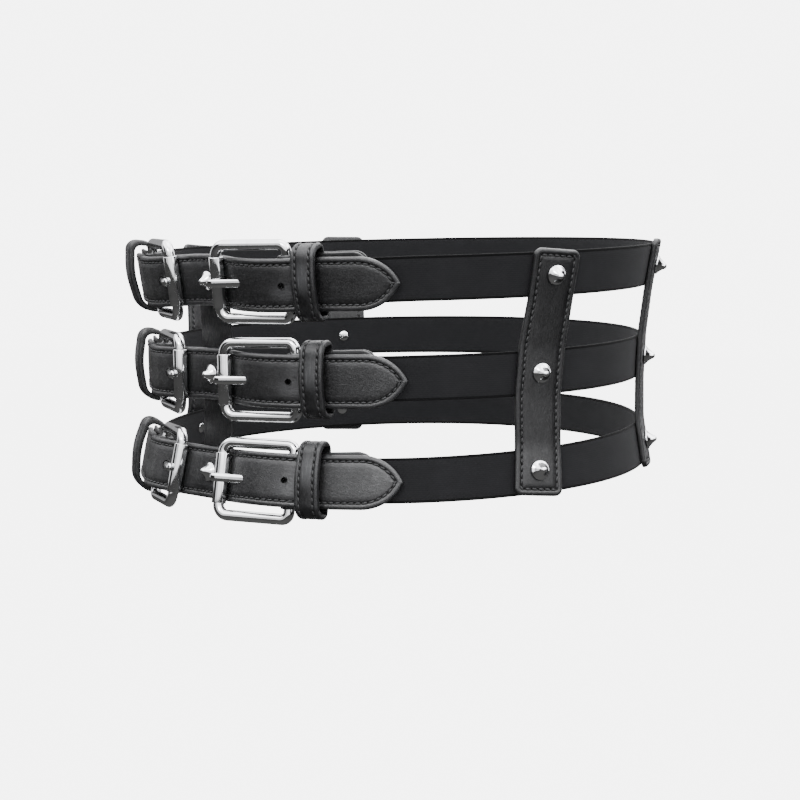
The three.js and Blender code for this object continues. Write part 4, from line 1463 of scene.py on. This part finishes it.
class BELT_OT_stage(bpy.types.Operator):
    """Set the floor, the soft lights and the camera"""

    bl_idname = "belt.stage"
    bl_label = "Stage"

    def floor(self, finish):
        """A wide pale floor, bright in the picture's background and dim in what the metal mirrors."""
        bpy.ops.mesh.primitive_circle_add(vertices=96, radius=9, fill_type="NGON", location=(0, 0, -0.45))
        floor = bpy.context.object
        floor.name = "floor"
        nodes, shader = new_material("pale_floor", 0.9, specular=0.1)
        place = nodes.object_place()
        pale = finish.floor_colour
        colour = nodes.mix(nodes.noise(place, 1.5)["Fac"], tinted(pale, 0.985), pale)
        nodes.fill(shader.inputs["Base Color"], colour)
        path = nodes.add("ShaderNodeLightPath")
        from_middle = nodes.vector_math("LENGTH", {0: place}, "Value")
        dimness = nodes.ramp(from_middle, 0.3, 1.4, 0.08, 0.05)
        dim = nodes.add("ShaderNodeEmission", {"Color": (1.0, 0.99, 0.97), "Strength": dimness})["Emission"]
        glow = nodes.add("ShaderNodeEmission", {"Color": BACKDROP, "Strength": 1.2})["Emission"]
        mirrored = nodes.times(path["Is Glossy Ray"], 0.97)
        seen = nodes.times(path["Is Camera Ray"], 0.8)
        lit = nodes.add("ShaderNodeMixShader", {0: mirrored, 1: shader.outputs["BSDF"], 2: dim})[0]
        mixed = nodes.add("ShaderNodeMixShader", {0: seen, 1: lit, 2: glow})[0]
        nodes.fill(nodes.tree.nodes["Material Output"].inputs["Surface"], mixed)
        dress(floor, "pale_floor")

    def light(self, name, place, size, watts):
        """A soft rectangular light, turned to the belt."""
        bpy.ops.object.light_add(type="AREA", location=place)
        light = bpy.context.object
        light.name = name
        light.data.shape = "RECTANGLE"
        light.data.size, light.data.size_y = size
        light.data.energy = watts
        light.rotation_euler = (-Vector(place)).to_track_quat("-Z", "Y").to_euler()

    def world(self):
        """A pale backdrop, and for reflections a dim room, lit from above, in front and by upright strips."""
        world = bpy.data.worlds.new("studio")
        world.use_nodes = True
        nodes = Nodes(world.node_tree)
        ray = nodes.add("ShaderNodeTexCoord")["Generated"]
        height = nodes.add("ShaderNodeSeparateXYZ", {"Vector": ray})["Z"]
        ahead_way = (sin(CAMERA_TURN), -cos(CAMERA_TURN), 0)
        right_way = (cos(CAMERA_TURN), sin(CAMERA_TURN), 0)
        ahead = nodes.vector_math("DOT_PRODUCT", {0: ray, 1: ahead_way}, "Value")
        right = nodes.vector_math("DOT_PRODUCT", {0: ray, 1: right_way}, "Value")
        room = nodes.plus(nodes.ramp(height, 0.36, 0.64, 0.0, 5.0), 0.03)
        room = nodes.plus(room, nodes.ramp(ahead, 0.0, -0.7, 0.0, 0.4))
        front = nodes.times(nodes.ramp(height, -0.5, 0.45, 0.0, 3.4), nodes.ramp(ahead, 0.62, 0.92))
        room = nodes.plus(room, front)
        for centre, width, strength in ((0.72, 0.16, 3.0), (-0.8, 0.12, 1.2), (0.12, 0.05, 1.2)):
            room = nodes.plus(room, nodes.ramp(nodes.off(right, centre), width * 0.5, width, strength, 0.0))
        path = nodes.add("ShaderNodeLightPath")
        room = nodes.times(room, nodes.times_plus(path["Is Glossy Ray"], 0.82, 0.18))
        brightest = 8.0
        share = nodes.math("DIVIDE", room, brightest, clamp=True)
        room_colour = nodes.mix(share, (0.0, 0.0, 0.0), (brightest, brightest, 1.02 * brightest))
        seen = nodes.mix(path["Is Camera Ray"], room_colour, BACKDROP)
        nodes.fill(nodes.tree.nodes["Background"].inputs["Color"], seen)
        bpy.context.scene.world = world

    def camera(self):
        """The photograph's viewpoint, found by fitting the rows and the buckles to it."""
        distance = 999.6 * MM
        height = 51.6 * MM
        down = 0.0744
        roll = 0.0122
        place = (distance * sin(CAMERA_TURN), -distance * cos(CAMERA_TURN), height)
        bpy.ops.object.camera_add(location=place)
        camera = bpy.context.object
        turned = Euler((pi / 2 - down, 0, CAMERA_TURN)).to_matrix()
        camera.rotation_euler = (turned @ Matrix.Rotation(roll, 3, "Z")).to_euler()
        camera.data.lens = 90.87
        camera.data.shift_x = 0.008
        camera.data.clip_start = 0.01
        bpy.context.scene.camera = camera

    def execute(self, context):
        self.floor(context.scene.belt_finish)
        self.light("key", (0.9, -1.9, 1.5), (1.0, 0.7), 22)
        self.light("side", (2.1, 0.5, 0.7), (0.5, 1.4), 7)
        self.light("top", (0.1, 0.1, 1.9), (1.6, 1.6), 20)
        self.light("back", (-1.4, 1.7, 1.1), (1.0, 0.8), 14)
        self.world()
        self.camera()
        return {"FINISHED"}


class BELT_PT_panel(bpy.types.Panel):
    """Lists the belt's steps and sizes"""

    bl_idname = "BELT_PT_panel"
    bl_label = "Cinch Belt"
    bl_space_type = "VIEW_3D"
    bl_region_type = "UI"
    bl_category = "Belt"

    def draw(self, context):
        for operator in OPERATORS:
            self.layout.operator(operator.bl_idname)
        for group in (context.scene.belt_sizes, context.scene.belt_finish):
            box = self.layout.box()
            for key in group.__annotations__:
                box.prop(group, key)


OPERATORS = (
    BELT_OT_finishes, BELT_OT_elastics, BELT_OT_front_straps, BELT_OT_end_tabs, BELT_OT_keepers,
    BELT_OT_uprights, BELT_OT_buckles, BELT_OT_studs, BELT_OT_stage,
)
CLASSES = (BeltSizes, BeltFinish, *OPERATORS, BELT_PT_panel)


def register():
    for item in CLASSES:
        bpy.utils.register_class(item)
    bpy.types.Scene.belt_sizes = PointerProperty(type=BeltSizes)
    bpy.types.Scene.belt_finish = PointerProperty(type=BeltFinish)


def unregister():
    del bpy.types.Scene.belt_finish
    del bpy.types.Scene.belt_sizes
    for item in reversed(CLASSES):
        bpy.utils.unregister_class(item)


def main():
    register()
    bpy.ops.belt.finishes()
    bpy.ops.belt.elastics()
    bpy.ops.belt.front_straps()
    bpy.ops.belt.end_tabs()
    bpy.ops.belt.keepers()
    bpy.ops.belt.uprights()
    bpy.ops.belt.buckles()
    bpy.ops.belt.studs()
    bpy.ops.belt.stage()


if __name__ == "__main__":
    main()
